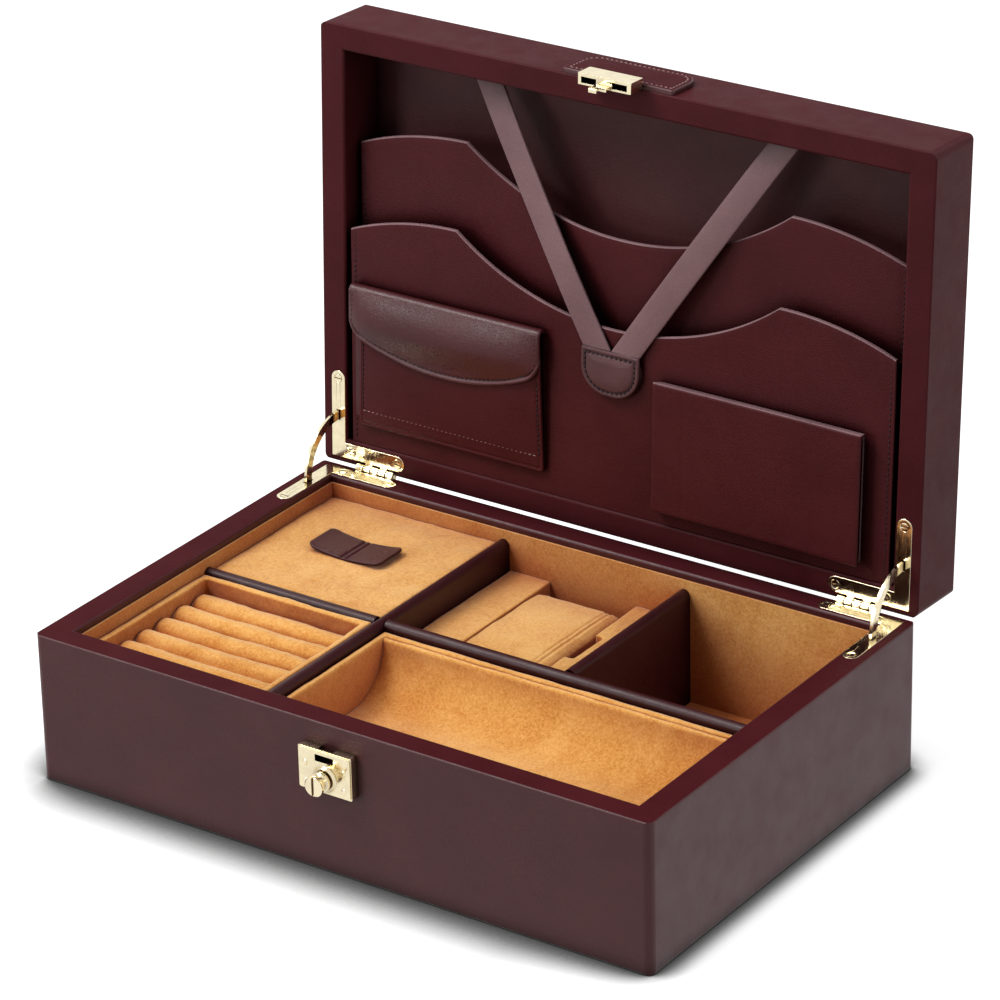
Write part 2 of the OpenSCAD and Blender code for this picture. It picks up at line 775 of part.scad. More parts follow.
module cover_tab() {
  wing = tab_l / 2;
  color(DARK_LEATHER)
    translate([(cover_x0 + cover_x1) / 2 - tab_left, (cover_y0 + cover_y1) / 2 + tab_back, cover_z + cover_t])
    rotate([90, 0, 0]) linear_extrude(tab_w, center = true)
      polygon([[-wing, tab_rise], [0, 0], [wing, tab_rise], [wing, tab_rise + tab_t], [0, tab_t],
        [-wing, tab_rise + tab_t]]);
}

// Hinge plate with the knuckles of the given places, for the right-hand side of the base
module hinge_leaf(places) {
  difference() {
    union() {
      translate([0, 0, base_h - leaf_t]) linear_extrude(leaf_t) leaf_plan(leaf_w);
      for (i = places)
        translate([knuckle_x0 + i * knuckle_l + knuckle_gap / 2, 0, 0]) {
          translate([0, leg_y, base_h - leaf_t])
            cube([knuckle_l - knuckle_gap, hinge_y - leg_y, leaf_t]);
          translate([0, hinge_y, hinge_z]) rotate([0, 90, 0]) cylinder(knuckle_l - knuckle_gap, r = barrel_r);
        }
    }
    translate([knuckle_x0 - over, hinge_y, hinge_z]) rotate([0, 90, 0])
      cylinder(knuckle_n * knuckle_l + 2 * over, r = pin_r + pin_clear);
    translate([leg_x, hinge_y - stay_r, base_h])
      cube([stay_t + 2 * stay_gap, stay_w + 2 * stay_gap, 4 * leaf_t], center = true);
    at_screws() hinge_screw(fit);
  }
}

module base_hinge_right() { color(GOLD) hinge_leaf([0, 2, 4]); }
module base_hinge_left() { color(GOLD) mirror([1, 0, 0]) hinge_leaf([0, 2, 4]); }
module lid_hinge_right() { color(GOLD) opened() flipped() hinge_leaf([1, 3]); }
module lid_hinge_left() { color(GOLD) opened() flipped() mirror([1, 0, 0]) hinge_leaf([1, 3]); }

module hinge_pin() {
  translate([knuckle_x0, hinge_y, hinge_z]) rotate([0, 90, 0]) cylinder(knuckle_n * knuckle_l, r = pin_r);
}

module hinge_pin_right() { color(GOLD) hinge_pin(); }
module hinge_pin_left() { color(GOLD) mirror([1, 0, 0]) hinge_pin(); }

// Countersunk screws with a slot, three to a plate
module hinge_screws() {
  slot_w = 0.5;
  at_screws() difference() {
    hinge_screw(0);
    translate([-screw_head_r, -slot_w / 2, -0.5]) cube([2 * screw_head_r, slot_w, 0.5 + over]);
  }
}

module base_hinge_screws() { color(GOLD) both_sides() hinge_screws(); }
module lid_hinge_screws() { color(GOLD) opened() flipped() both_sides() hinge_screws(); }

// Quadrant stay: an arc that slides through both plates, with a stop pin near each end
module stay() {
  arc_plate(stay_r - stay_w / 2, stay_r + stay_w / 2, -stop_deg - tail_deg, open_deg + stop_deg + tail_deg, stay_t);
  for (a = [-stop_deg, open_deg + stop_deg])
    translate([leg_x, hinge_y - stay_r * cos(a), hinge_z + stay_r * sin(a)]) rotate([0, 90, 0])
      cylinder(stop_l, r = stop_r, center = true);
}

module stay_right() { color(GOLD) stay(); }
module stay_left() { color(GOLD) mirror([1, 0, 0]) stay(); }

// Draws on the front of the box: x across, y up from the underside, z out towards the viewer
module on_front(out) {
  translate([0, -half_d - out, 0]) rotate([90, 0, 0]) children();
}

// Lock case: a shallow box with an open back, a window, a way in for the tongue, and the knob's rose
module lock_case() {
  bevel = 0.5;
  mid_z = (lock_top + lock_foot) / 2;
  color(GOLD) difference() {
    union() {
      on_front(0) translate([0, mid_z, 0]) linear_extrude(lock_t - bevel) rounded_rect(lock_w, lock_h, 0.8);
      on_front(lock_t - bevel) translate([0, mid_z, 0]) linear_extrude(bevel)
        rounded_rect(lock_w - 2 * bevel, lock_h - 2 * bevel, 0.8);
      on_front(lock_t) translate([0, knob_z, 0]) cylinder(rose_t, rose_r, rose_r - 0.6);
    }
    on_front(-over) translate([0, mid_z, 0]) linear_extrude(lock_t - lock_sheet + over)
      square([lock_w - 2 * lock_sheet, lock_h - 2 * lock_sheet], center = true);
    on_front(-over) translate([0, lock_top, 0]) linear_extrude(lock_t - lock_sheet + over)
      square([tongue_w + 1.2, 4 * lock_sheet], center = true);
    on_front(0) translate([0, mouth_z, 0]) linear_extrude(lock_t + over)
      square([window_w, window_h], center = true);
    on_front(0) translate([0, knob_z, 0]) cylinder(lock_t + 2 * rose_t, r = shaft_r + pin_clear);
    for (p = RIVETS)
      on_front(0) translate([p[0], p[1], 0]) cylinder(lock_t + over, r = rivet_r + fit);
  }
}

module lock_rivets() {
  head_r = 1.3;
  color(GOLD) for (p = RIVETS)
    on_front(-4) translate([p[0], p[1], 0]) {
      cylinder(lock_t + 4, r = rivet_r);
      translate([0, 0, lock_t + 4]) cylinder(0.4, head_r, head_r - 0.4);
    }
}

// Knob, turned in one piece with its shaft, and the crank that moves the bolt
module lock_knob() {
  grip = lock_t + rose_t + 0.3;
  disc_out = lock_t - lock_sheet - disc_t - seat_gap;
  color(GOLD) difference() {
    union() {
      on_front(disc_out) translate([0, knob_z, 0]) {
        cylinder(disc_t, r = disc_r);
        cylinder(grip - disc_out, r = shaft_r);
      }
      on_front(grip) translate([0, knob_z, 0]) rotate_extrude()
        polygon([[0, 0], [knob_r - 0.4, 0], [knob_r, 0.4], [knob_r, 1.6], [knob_r - 1.1, 2.2],
          [knob_r - 1.1, knob_l - 2.6], [knob_r, knob_l - 2], [knob_r, knob_l - 0.6], [knob_r - 0.6, knob_l],
          [0, knob_l]]);
      on_front(-bolt_y - half_d - 0.2) translate([crank_x, knob_z + crank_r / sqrt(2), 0])
        cylinder(disc_out + bolt_y + half_d + 0.2 + fit, r = crank_pin_r);
    }
    on_front(grip + knob_l - 0.8) translate([0, knob_z, 0]) linear_extrude(over + 0.8)
      square([1.2, 3 * knob_r], center = true);
  }
}

// Bolt: a foot with the crank's slot, an arm, and a nose that slides into the tongue's mouth
module lock_bolt() {
  arm_x = jaw_x + seat_gap + bolt_travel;
  arm_w = 2.3;
  slot_w = 2 * crank_pin_r + 0.4;
  foot_x = crank_x - slot_w / 2 - 1.1;
  foot_z = knob_z + crank_r / sqrt(2) - crank_pin_r - 1.2;
  slot_top = knob_z + crank_r + crank_pin_r + 0.4;
  nose_top = mouth_z + nose_h / 2;
  color(GOLD) on_front(-bolt_y - half_d) linear_extrude(bolt_t) difference() {
    union() {
      translate([foot_x, foot_z]) square([arm_x + arm_w - foot_x, slot_top + 1.2 - foot_z]);
      translate([arm_x, foot_z]) square([arm_w, nose_top - foot_z]);
      translate([nose_x, nose_top - nose_h]) square([arm_x + arm_w - nose_x, nose_h]);
    }
    translate([crank_x - slot_w / 2, foot_z + 0.8]) square([slot_w, slot_top - foot_z - 0.8]);
  }
}

// Lid walls, made as the base's walls turned over
module lid_wall(turn) {
  translate([0, 0, rim_z + lid_h]) mirror([0, 0, 1]) box_wall(turn, lid_h);
}

module lid_front_wall() {
  color(LEATHER) opened() difference() {
    lid_wall(0);
    for (p = HASP_SCREWS)
      on_front(-6) translate([p[0], rim_z + p[1], 0]) cylinder(6 + over, r = screw_r + fit);
  }
}

module lid_back_wall() {
  color(LEATHER) opened() difference() {
    lid_wall(180);
    flipped() both_sides() hinge_seat();
  }
}

module lid_right_wall() {
  color(LEATHER) opened() difference() {
    lid_wall(90);
    flipped() hinge_seat();
  }
}

module lid_left_wall() {
  color(LEATHER) opened() difference() {
    lid_wall(270);
    flipped() mirror([1, 0, 0]) hinge_seat();
  }
}

module lid_top() {
  color(LEATHER) in_lid(-in_w, wall, lid_h - lid_top_t) cube([2 * in_w, 2 * in_d, lid_top_t]);
}

module lid_lining() {
  color(DARK_LEATHER) in_lid(-in_w, wall, lining_u) cube([2 * in_w, 2 * in_d, lid_lining_t]);
}

// Pocket panel with a mouth that dips in the middle, rises to two knees and falls to the sides
module pocket_shape(dip) {
  knee_v = dip + knee_rise;
  difference() {
    union() {
      translate([-knee_x, pocket_foot]) square([2 * knee_x, knee_v - pocket_foot]);
      for (s = [-1, 1])
        intersection() {
          translate([s * knee_x, knee_v - side_r]) circle(side_r, $fn = 128);
          translate([s > 0 ? knee_x : -pocket_half, pocket_foot]) square([side_run, knee_v - pocket_foot]);
        }
    }
    translate([0, dip + knee_r]) circle(knee_r, $fn = 128);
  }
}

module upper_pocket() {
  color(LEATHER) in_lid(0, 0, high_u) linear_extrude(pocket_t) pocket_shape(high_dip);
}

module lower_pocket() {
  color(LEATHER) in_lid(0, 0, low_u) linear_extrude(pocket_t) pocket_shape(low_dip);
}

// Strips behind the pockets: one along the foot and one up each side, for each pocket
module pocket_gusset(u0, u1, v1) {
  h = u1 - u0;
  in_lid(-pocket_half, pocket_foot, u0) cube([2 * pocket_half, gusset_t, h]);
  for (x = [-pocket_half, pocket_half - gusset_t])
    in_lid(x, pocket_foot + gusset_t + fit, u0) cube([gusset_t, v1 - pocket_foot - gusset_t - fit, h]);
}

module pocket_gussets() {
  color(DARK_LEATHER) {
    pocket_gusset(low_u + pocket_t, high_u, low_dip + knee_rise - side_fall - 2);
    pocket_gusset(high_u + pocket_t, lining_u, high_dip + knee_rise - side_fall - 2);
  }
}

// Strap from the sewn tab up to the lid's front wall, on the left (-1) or right (1)
module strap(side, top_x) {
  run_x = top_x - strap_foot_x;
  run = norm([run_x, strap_run_v]);
  rise = strap_u - strap_foot_u;
  in_lid(0, 0, 0) intersection() {
    translate([side * strap_foot_x, strap_tab_v, strap_foot_u]) rotate(-side * atan(run_x / strap_run_v))
      rotate([atan(rise / run), 0, 0]) translate([-strap_w / 2, -strap_w, 0])
      cube([strap_w, norm([run, rise]) + 2 * strap_w, strap_t]);
    translate([-half_w, strap_tab_v, low_u - strap_w]) cube([box_w, strap_run_v, lid_h]);
  }
}

module strap_left() { color(LEATHER) strap(-1, strap_left_x); }
module strap_right() { color(LEATHER) strap(1, strap_right_x); }

module strap_tab() {
  bow = 0.44 * strap_tab_h;
  bow_r = (strap_tab_w * strap_tab_w / 4 + bow * bow) / (2 * bow);
  color(LEATHER) in_lid(0, strap_tab_v - strap_tab_h, low_u - strap_tab_t) linear_extrude(strap_tab_t)
    intersection() {
      translate([-strap_tab_w / 2, 0]) square([strap_tab_w, strap_tab_h]);
      union() {
        translate([0, bow_r]) circle(bow_r);
        translate([-strap_tab_w / 2, bow]) square([strap_tab_w, strap_tab_h]);
      }
    }
}

// Draws in the lid across the box: x into the lid from its rim, y away from the hinge face
module across_lid(x, w) {
  in_lid(x, 0, 0) rotate([0, -90, 0]) translate([0, 0, -w]) linear_extrude(w) children();
}

// Quarter of the flap's turn: back to the top, or top to the front
module turn_quarter(back) {
  intersection() {
    translate([turn_u, purse_top]) difference() {
      circle(turn_r);
      circle(turn_r - skin_t);
    }
    translate([back ? turn_u : turn_u - 2 * turn_r, purse_top]) square(2 * turn_r);
  }
}

// Purse: back panel with half of the turn, gusset, front panel, and the flap with the other half
module purse_back() {
  color(LEATHER) {
    in_lid(purse_x - purse_w / 2, purse_v, low_u - skin_t) cube([purse_w, purse_h, skin_t]);
    across_lid(purse_x - purse_w / 2, purse_w) turn_quarter(true);
  }
}

module purse_front() {
  color(LEATHER) in_lid(purse_x, (purse_v + purse_mouth) / 2, low_u - purse_t) linear_extrude(skin_t)
    rounded_rect(purse_w, purse_mouth - purse_v, 3);
}

module purse_gusset() {
  color(DARK_LEATHER) in_lid(purse_x - purse_w / 2, purse_v, low_u - purse_t + skin_t)
    linear_extrude(purse_t - 2 * skin_t) difference() {
      square([purse_w, purse_mouth - purse_v]);
      translate([skin_t, skin_t]) square([purse_w - 2 * skin_t, purse_h]);
    }
}

module purse_flap() {
  plate_u = low_u - 2 * turn_r;
  flap_v = purse_top - flap_side;
  color(LEATHER) {
    in_lid(purse_x, 0, plate_u) linear_extrude(skin_t) intersection() {
      translate([0, flap_v - flap_bow + flap_bow_r]) circle(flap_bow_r, $fn = 128);
      translate([-flap_w / 2, flap_v - flap_bow]) square([flap_w, flap_bow + over]);
    }
    across_lid(purse_x - flap_w / 2, flap_w) {
      translate([plate_u, flap_v]) square([skin_t, flap_side + fit]);
      difference() {
        turn_quarter(false);
        translate([turn_u - flap_gap, purse_top]) square(2 * turn_r);
      }
    }
  }
}

// Folder: a back with its spine, and a cover that opens like a book
module folder_back() {
  color(LEATHER) {
    in_lid(folder_x, folder_v, low_u - folder_back_t) cube([folder_w, folder_h, folder_back_t]);
    in_lid(folder_x, folder_v, folder_front_u) cube([folder_back_t, folder_h, folder_spine]);
  }
}

module folder_cover() {
  color(LEATHER) in_lid(folder_x, folder_v, folder_front_u - flap_gap - folder_cover_t)
    cube([folder_w, folder_h, folder_cover_t]);
}

// Hasp: a hollow block below the lid's rim, and a foot on the lid's front
module hasp_plate() {
  color(GOLD) opened() difference() {
    union() {
      on_front(hasp_off) translate([0, rim_z - hasp_l / 2, 0]) linear_extrude(hasp_t - hasp_off)
        rounded_rect(hasp_w, hasp_l, 0.6);
      on_front(0) translate([0, rim_z + foot_h / 2, 0]) linear_extrude(foot_t)
        square([foot_w, foot_h], center = true);
      on_front(hasp_off) translate([0, rim_z, 0]) linear_extrude(foot_t - hasp_off)
        square([foot_w, 4], center = true);
    }
    hasp_hollow(-1);
    hasp_hollow(1);
    for (p = HASP_SCREWS)
      on_front(foot_t) translate([p[0], rim_z + p[1], 0]) hinge_screw(fit);
  }
}

// Tongue under the hasp's block: a hook whose mouth takes the bolt's nose from the right
module hasp_tongue() {
  mouth_x = nose_x - bolt_travel - 0.5;
  jaw_top = mouth_z - mouth_h / 2;
  color(GOLD) opened() on_front(-bolt_y - half_d - (tongue_t - bolt_t) / 2) linear_extrude(tongue_t) {
    translate([-tongue_w / 2, jaw_top + mouth_h]) square([tongue_w, rim_z - hasp_l - jaw_top - mouth_h]);
    translate([-tongue_w / 2, jaw_top]) square([mouth_x + tongue_w / 2, mouth_h]);
    translate([-tongue_w / 2, jaw_top - jaw_t]) square([jaw_x + tongue_w / 2, jaw_t]);
  }
}

// The two hollows of the hasp's block, one on each side of the tongue
module hasp_hollow(side) {
  x0 = tongue_w / 2 + 0.6;
  x1 = hasp_w / 2 - 1.8;
  on_front(hasp_off + 0.8) translate([side * (x0 + x1) / 2, rim_z - hasp_l / 2 - hasp_sheet, 0])
    linear_extrude(hasp_t - hasp_sheet - hasp_off - 0.8) square([x1 - x0, hasp_l], center = true);
}

// Leather tab sewn over the hasp's foot
module hasp_tab() {
  near = 0.6;
  half = hasp_tab_w / 2;
  shoulder = 6;
  color(LEATHER) opened() difference() {
    on_front(0) translate([0, rim_z + near, 0]) linear_extrude(hasp_tab_t)
      polygon([[-hasp_w / 2, 0], [hasp_w / 2, 0], [half - 2.4, shoulder], [half, 0.73 * hasp_tab_h],
        [half - 1.6, hasp_tab_h], [1.6 - half, hasp_tab_h], [-half, 0.73 * hasp_tab_h], [2.4 - half, shoulder]]);
    on_front(-over) translate([0, rim_z + foot_h / 2, 0]) linear_extrude(foot_t + fit + over)
      square([foot_w + 2 * fit, foot_h + 2 * fit], center = true);
  }
}

module hasp_screws() {
  color(GOLD) opened() for (p = HASP_SCREWS)
    on_front(foot_t) translate([p[0], rim_z + p[1], 0]) intersection() {
      hinge_screw(0);
      translate([0, 0, -6]) cylinder(6, r = screw_head_r);
    }
}

base_front_wall();
base_back_wall();
base_left_wall();
base_right_wall();
base_floor();
base_pad();
wall_lining();
floor_lining();
long_divider();
cross_divider();
short_divider();
ring_tray();
ring_rolls();
scoop_frame();
scoop_sheet();
watch_ledge_left();
watch_ledge_right();
watch_deck();
watch_pillow();
cover_strips();
cover_panel();
cover_tab();
base_hinge_left();
base_hinge_right();
hinge_pin_left();
hinge_pin_right();
base_hinge_screws();
stay_left();
stay_right();
lock_case();
lock_rivets();
lock_knob();
lock_bolt();
lid_front_wall();
lid_back_wall();
lid_left_wall();
lid_right_wall();
lid_top();
lid_lining();
upper_pocket();
lower_pocket();
pocket_gussets();
strap_left();
strap_right();
strap_tab();
purse_back();
purse_front();
purse_gusset();
purse_flap();
folder_back();
folder_cover();
lid_hinge_left();
lid_hinge_right();
lid_hinge_screws();
hasp_plate();
hasp_tongue();
hasp_tab();
hasp_screws();
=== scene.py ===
import json
import math

import bmesh
import bpy
from mathutils import Matrix, Vector, noise


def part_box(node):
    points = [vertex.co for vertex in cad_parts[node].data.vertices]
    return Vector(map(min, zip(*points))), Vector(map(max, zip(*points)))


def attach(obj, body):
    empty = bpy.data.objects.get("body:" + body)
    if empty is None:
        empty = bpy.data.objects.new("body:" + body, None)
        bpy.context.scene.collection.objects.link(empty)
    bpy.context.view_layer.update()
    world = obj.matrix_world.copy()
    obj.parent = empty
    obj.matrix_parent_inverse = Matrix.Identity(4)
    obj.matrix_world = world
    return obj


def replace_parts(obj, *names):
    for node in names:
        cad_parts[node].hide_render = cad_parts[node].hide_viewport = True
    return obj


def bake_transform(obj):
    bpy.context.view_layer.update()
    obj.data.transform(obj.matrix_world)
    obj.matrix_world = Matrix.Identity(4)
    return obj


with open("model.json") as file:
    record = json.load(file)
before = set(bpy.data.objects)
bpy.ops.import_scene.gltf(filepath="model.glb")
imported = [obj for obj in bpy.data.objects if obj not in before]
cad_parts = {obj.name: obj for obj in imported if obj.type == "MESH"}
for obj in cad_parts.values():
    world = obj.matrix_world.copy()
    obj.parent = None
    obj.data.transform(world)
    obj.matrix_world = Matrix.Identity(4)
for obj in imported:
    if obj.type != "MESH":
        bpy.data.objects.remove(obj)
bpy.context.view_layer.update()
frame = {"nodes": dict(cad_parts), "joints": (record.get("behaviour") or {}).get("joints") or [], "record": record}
nodes = frame["nodes"]
scene = bpy.context.scene
scene.view_settings.view_transform = "Standard"

MM = 0.001

# Lid coordinates: x to the right, v up the open lid from its hinge face, w out of the lid from its rim
hinge = next(j for j in frame["joints"] if j["name"] == "lid_hinge")
hinge_at = Vector(hinge["pos_m"])
open_angle = math.radians(hinge["range_deg"][1])
base_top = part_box("base_back_wall")[1]
lid_v = Vector((0, -math.cos(open_angle), math.sin(open_angle)))
lid_w = Vector((0, -math.sin(open_angle), -math.cos(open_angle)))
lid_at = hinge_at + lid_v * (hinge_at.y - base_top.y) - lid_w * (hinge_at.z - base_top.z)
LID = Matrix(((1, lid_v.x, lid_w.x, lid_at.x), (0, lid_v.y, lid_w.y, lid_at.y),
              (0, lid_v.z, lid_w.z, lid_at.z), (0, 0, 0, 1)))
LID_BACK = LID.inverted()


def in_lid(point):
    """A point of the row frame in the lid's coordinates, in millimetres."""
    return LID_BACK @ point / MM


def box_mm(node):
    lo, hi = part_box(node)
    return lo / MM, hi / MM


def lid_box(node):
    """Lowest and highest corners of a node in the lid's coordinates, in millimetres."""
    pts = [in_lid(v.co) for v in nodes[node].data.vertices]
    lo = Vector([min(p[k] for p in pts) for k in range(3)])
    hi = Vector([max(p[k] for p in pts) for k in range(3)])
    return lo, hi


# Materials


def new_material(name):
    mat = bpy.data.materials.new(name)
    mat.use_nodes = True
    tree = mat.node_tree
    shader = tree.nodes["Principled BSDF"]
    coords = tree.nodes.new("ShaderNodeTexCoord").outputs["Object"]
    return mat, tree, shader, coords


def noise_tex(tree, coords, scale, detail=3.0, rough=0.55, distortion=0.0):
    tex = tree.nodes.new("ShaderNodeTexNoise")
    tex.inputs["Scale"].default_value = scale
    tex.inputs["Detail"].default_value = detail
    tex.inputs["Roughness"].default_value = rough
    tex.inputs["Distortion"].default_value = distortion
    tree.links.new(coords, tex.inputs["Vector"])
    return tex.outputs["Fac"]


def stretched(tree, coords, scale):
    node = tree.nodes.new("ShaderNodeMapping")
    node.inputs["Scale"].default_value = scale
    tree.links.new(coords, node.inputs["Vector"])
    return node.outputs["Vector"]


def ramp(tree, fac, stops):
    node = tree.nodes.new("ShaderNodeValToRGB")
    elements = node.color_ramp.elements
    while len(elements) < len(stops):
        elements.new(0.5)
    for e, (at, color) in zip(elements, stops):
        e.position = at
        e.color = (*color, 1) if len(color) == 3 else color
    tree.links.new(fac, node.inputs["Fac"])
    return node.outputs["Color"]


def grey(value):
    return (value, value, value)


def mix(tree, kind, fac, a, b):
    node = tree.nodes.new("ShaderNodeMix")
    node.data_type = "RGBA"
    node.blend_type = kind
    for socket, value in zip((node.inputs[0], node.inputs[6], node.inputs[7]), (fac, a, b)):
        if hasattr(value, "is_output"):
            tree.links.new(value, socket)
        elif isinstance(value, (int, float)):
            socket.default_value = value
        else:
            socket.default_value = (*value, 1)
    return node.outputs[2]


def math_node(tree, kind, a, b):
    node = tree.nodes.new("ShaderNodeMath")
    node.operation = kind
    for socket, value in zip(node.inputs, (a, b)):
        if hasattr(value, "is_output"):
            tree.links.new(value, socket)
        else:
            socket.default_value = value
    return node.outputs[0]


def bump(tree, shader, height, strength, distance):
    node = tree.nodes.new("ShaderNodeBump")
    node.inputs["Strength"].default_value = strength
    node.inputs["Distance"].default_value = distance
    tree.links.new(height, node.inputs["Height"])
    tree.links.new(node.outputs["Normal"], shader.inputs["Normal"])


def painted_hollow_shade(tree, reach, stops):
    """Painted shade: a colour that follows how closed in a place is, within a reach in metres, standing in for the
    shade that falls in hollows.
    """
    near = tree.nodes.new("ShaderNodeAmbientOcclusion")
    near.samples = 6
    near.inputs["Distance"].default_value = reach
    return ramp(tree, near.outputs["AO"], stops)


def leather(name, color, light, rough, specular, grain=0.25, reach=0.012, upward=1):
    """Smooth leather: fine pebbled grain, short creases, and a little variation in colour and polish, with painted
    shade in closed-in places.
    """
    mat, tree, shader, coords = new_material(name)
    patch = noise_tex(tree, coords, 28, 4, 0.6)
    pores = noise_tex(tree, coords, 1500, 2, 0.5)
    tone = ramp(tree, patch, ((0.3, color), (0.72, light)))
    tone = mix(tree, "MULTIPLY", 0.25, tone, ramp(tree, pores, ((0.35, grey(0.55)), (0.6, grey(1)))))
    # Painted shade: colour and polish darken where the place is closed in, within reach.
    closed = painted_hollow_shade(tree, reach, ((0.3, grey(0.15)), (0.85, grey(1))))
    tree.links.new(mix(tree, "MULTIPLY", 1.0, tone, closed), shader.inputs["Base Color"])
    polish = noise_tex(tree, coords, 90, 3)
    worn = ramp(tree, polish, ((0.3, grey(rough - 0.05)), (0.7, grey(rough + 0.07))))
    tree.links.new(worn, shader.inputs["Roughness"])
    cells = tree.nodes.new("ShaderNodeTexVoronoi")
    cells.feature = "DISTANCE_TO_EDGE"
    cells.inputs["Scale"].default_value = 1100
    wander = noise_tex(tree, coords, 500, 2)
    tree.links.new(mix(tree, "LINEAR_LIGHT", 0.0012, coords, wander), cells.inputs["Vector"])
    grooves = ramp(tree, cells.outputs["Distance"], ((0.0, grey(0)), (0.16, grey(1))))
    creases = noise_tex(tree, stretched(tree, coords, (40, 160, 300)), 3, 5, 0.7)
    height = math_node(tree, "ADD", math_node(tree, "MULTIPLY", grooves, 0.5), creases)
    height = math_node(tree, "ADD", height, math_node(tree, "MULTIPLY", pores, 0.3))
    bump(tree, shader, height, grain, 0.00025)
    polished = math_node(tree, "MULTIPLY", closed, specular)
    # Painted dulling: when upward is under 1, faces that point up lose most of their polish, taking away the
    # reflection that tops would catch.
    if upward < 1:
        apart = tree.nodes.new("ShaderNodeSeparateXYZ")
        tree.links.new(tree.nodes.new("ShaderNodeTexCoord").outputs["Normal"], apart.inputs[0])
        polished = math_node(tree, "MULTIPLY", polished,
                             ramp(tree, apart.outputs["Z"], ((0.8, grey(1)), (0.98, grey(upward)))))
    tree.links.new(polished, shader.inputs["Specular IOR Level"])
    return mat


def suede(name, dark, color, light):
    """Suede: brushed patches, a fine nap with fibres, and a soft sheen, with painted shade, deeper and more
    orange, in closed-in places.
    """
    mat, tree, shader, coords = new_material(name)
    brushed = noise_tex(tree, coords, 36, 5, 0.62, 0.6)
    nap = noise_tex(tree, coords, 820, 5, 0.78)
    fibre = noise_tex(tree, coords, 2600, 2, 0.6)
    both = mix(tree, "MIX", 0.62, brushed, nap)
    tone = ramp(tree, both, ((0.38, dark), (0.49, color), (0.6, light)))
    tone = mix(tree, "MULTIPLY", 0.4, tone, ramp(tree, fibre, ((0.3, grey(0.6)), (0.62, grey(1)))))
    # Painted shade: darker and more saturated in bays and corners, standing in for shade and bounced light.
    closed = painted_hollow_shade(tree, 0.06, ((0.35, (0.5, 0.18, 0.03)), (0.86, grey(1))))
    tree.links.new(mix(tree, "MULTIPLY", 1.0, tone, closed), shader.inputs["Base Color"])
    height = math_node(tree, "ADD", math_node(tree, "MULTIPLY", nap, 0.7), fibre)
    bump(tree, shader, height, 0.55, 0.0004)
    tree.links.new(ramp(tree, nap, ((0.3, grey(0.85)), (0.7, grey(0.98)))), shader.inputs["Roughness"])
    shader.inputs["Specular IOR Level"].default_value = 0.05
    shader.inputs["Sheen Weight"].default_value = 0.7
    shader.inputs["Sheen Roughness"].default_value = 0.45
    shader.inputs["Sheen Tint"].default_value = (1, 0.86, 0.68, 1)
    return mat


def metal(name, color):
    """Polished plating with faint wipe marks, and painted shade that darkens its grooves."""
    mat, tree, shader, coords = new_material(name)
    wipes = noise_tex(tree, stretched(tree, coords, (1, 1, 0.2)), 900, 3)
    spots = noise_tex(tree, coords, 260, 2)
    darker = tuple(c * 0.9 for c in color)
    tone = ramp(tree, spots, ((0.35, darker), (0.65, color)))
    # Painted shade in grooves and knuckles.
    closed = painted_hollow_shade(tree, 0.006, ((0.35, (0.14, 0.08, 0.04)), (0.85, grey(1))))
    tree.links.new(mix(tree, "MULTIPLY", 1.0, tone, closed), shader.inputs["Base Color"])
    tree.links.new(ramp(tree, wipes, ((0.35, grey(0.09)), (0.7, grey(0.2)))), shader.inputs["Roughness"])
    shader.inputs["Metallic"].default_value = 1
    bump(tree, shader, wipes, 0.04, 0.0001)
    return mat


def felt(name, color):
    mat, tree, shader, coords = new_material(name)
    fibre = noise_tex(tree, coords, 900, 5, 0.7)
    lighter = tuple(c * 1.8 for c in color)
    tree.links.new(ramp(tree, fibre, ((0.35, color), (0.7, lighter))), shader.inputs["Base Color"])
    bump(tree, shader, fibre, 0.6, 0.0006)
    shader.inputs["Roughness"].default_value = 0.95
    shader.inputs["Specular IOR Level"].default_value = 0.1
    return mat


def board(name, color):
    mat, tree, shader, coords = new_material(name)
    rings = noise_tex(tree, stretched(tree, coords, (0.1, 1, 1)), 300, 4)
    darker = tuple(c * 0.7 for c in color)
    tree.links.new(ramp(tree, rings, ((0.35, darker), (0.65, color))), shader.inputs["Base Color"])
    bump(tree, shader, rings, 0.2, 0.0003)
    shader.inputs["Roughness"].default_value = 0.7
    return mat


materials = {
    # upward=0.03 paints out nearly all the polish on the rims and other tops.
    "leather": leather("burgundy_leather", (0.048, 0.0074, 0.0096), (0.063, 0.0108, 0.0136), 0.38, 0.31,
                       upward=0.03),
    "dark_leather": leather("dark_leather", (0.027, 0.0038, 0.0053), (0.037, 0.0060, 0.0080), 0.34, 0.25),
    "suede": suede("tan_suede", (0.57, 0.22, 0.038), (0.72, 0.35, 0.085), (0.82, 0.46, 0.150)),
    "felt": felt("dark_felt", (0.03, 0.02, 0.018)),
    "board": board("plain_board", (0.55, 0.40, 0.25)),
    "gold": metal("pale_gold", (0.95, 0.83, 0.57)),
}
thread_dark = leather("dark_thread", (0.012, 0.004, 0.006), (0.02, 0.006, 0.009), 0.6, 0.3)
thread_light = leather("light_thread", (0.24, 0.13, 0.13), (0.34, 0.20, 0.20), 0.55, 0.3)
lid_lining_leather = leather("lid_lining_leather", (0.044, 0.0110, 0.0125), (0.064, 0.0175, 0.0190),
                             0.42, 0.15)
# upward=0.3 dulls the lid's up-facing faces, a painted dulling of their reflection.
lid_leather = leather("lid_leather", (0.050, 0.0076, 0.0098), (0.065, 0.0112, 0.0140), 0.38, 0.06, upward=0.3)
# Pocket leather's wider reach spreads its painted shade further, darkening the lower pocket under the purse and
# around the folder.
pocket_leather = leather("pocket_leather", (0.053, 0.0076, 0.0094), (0.069, 0.0108, 0.0132), 0.40, 0.1,
                         0.3, 0.03)
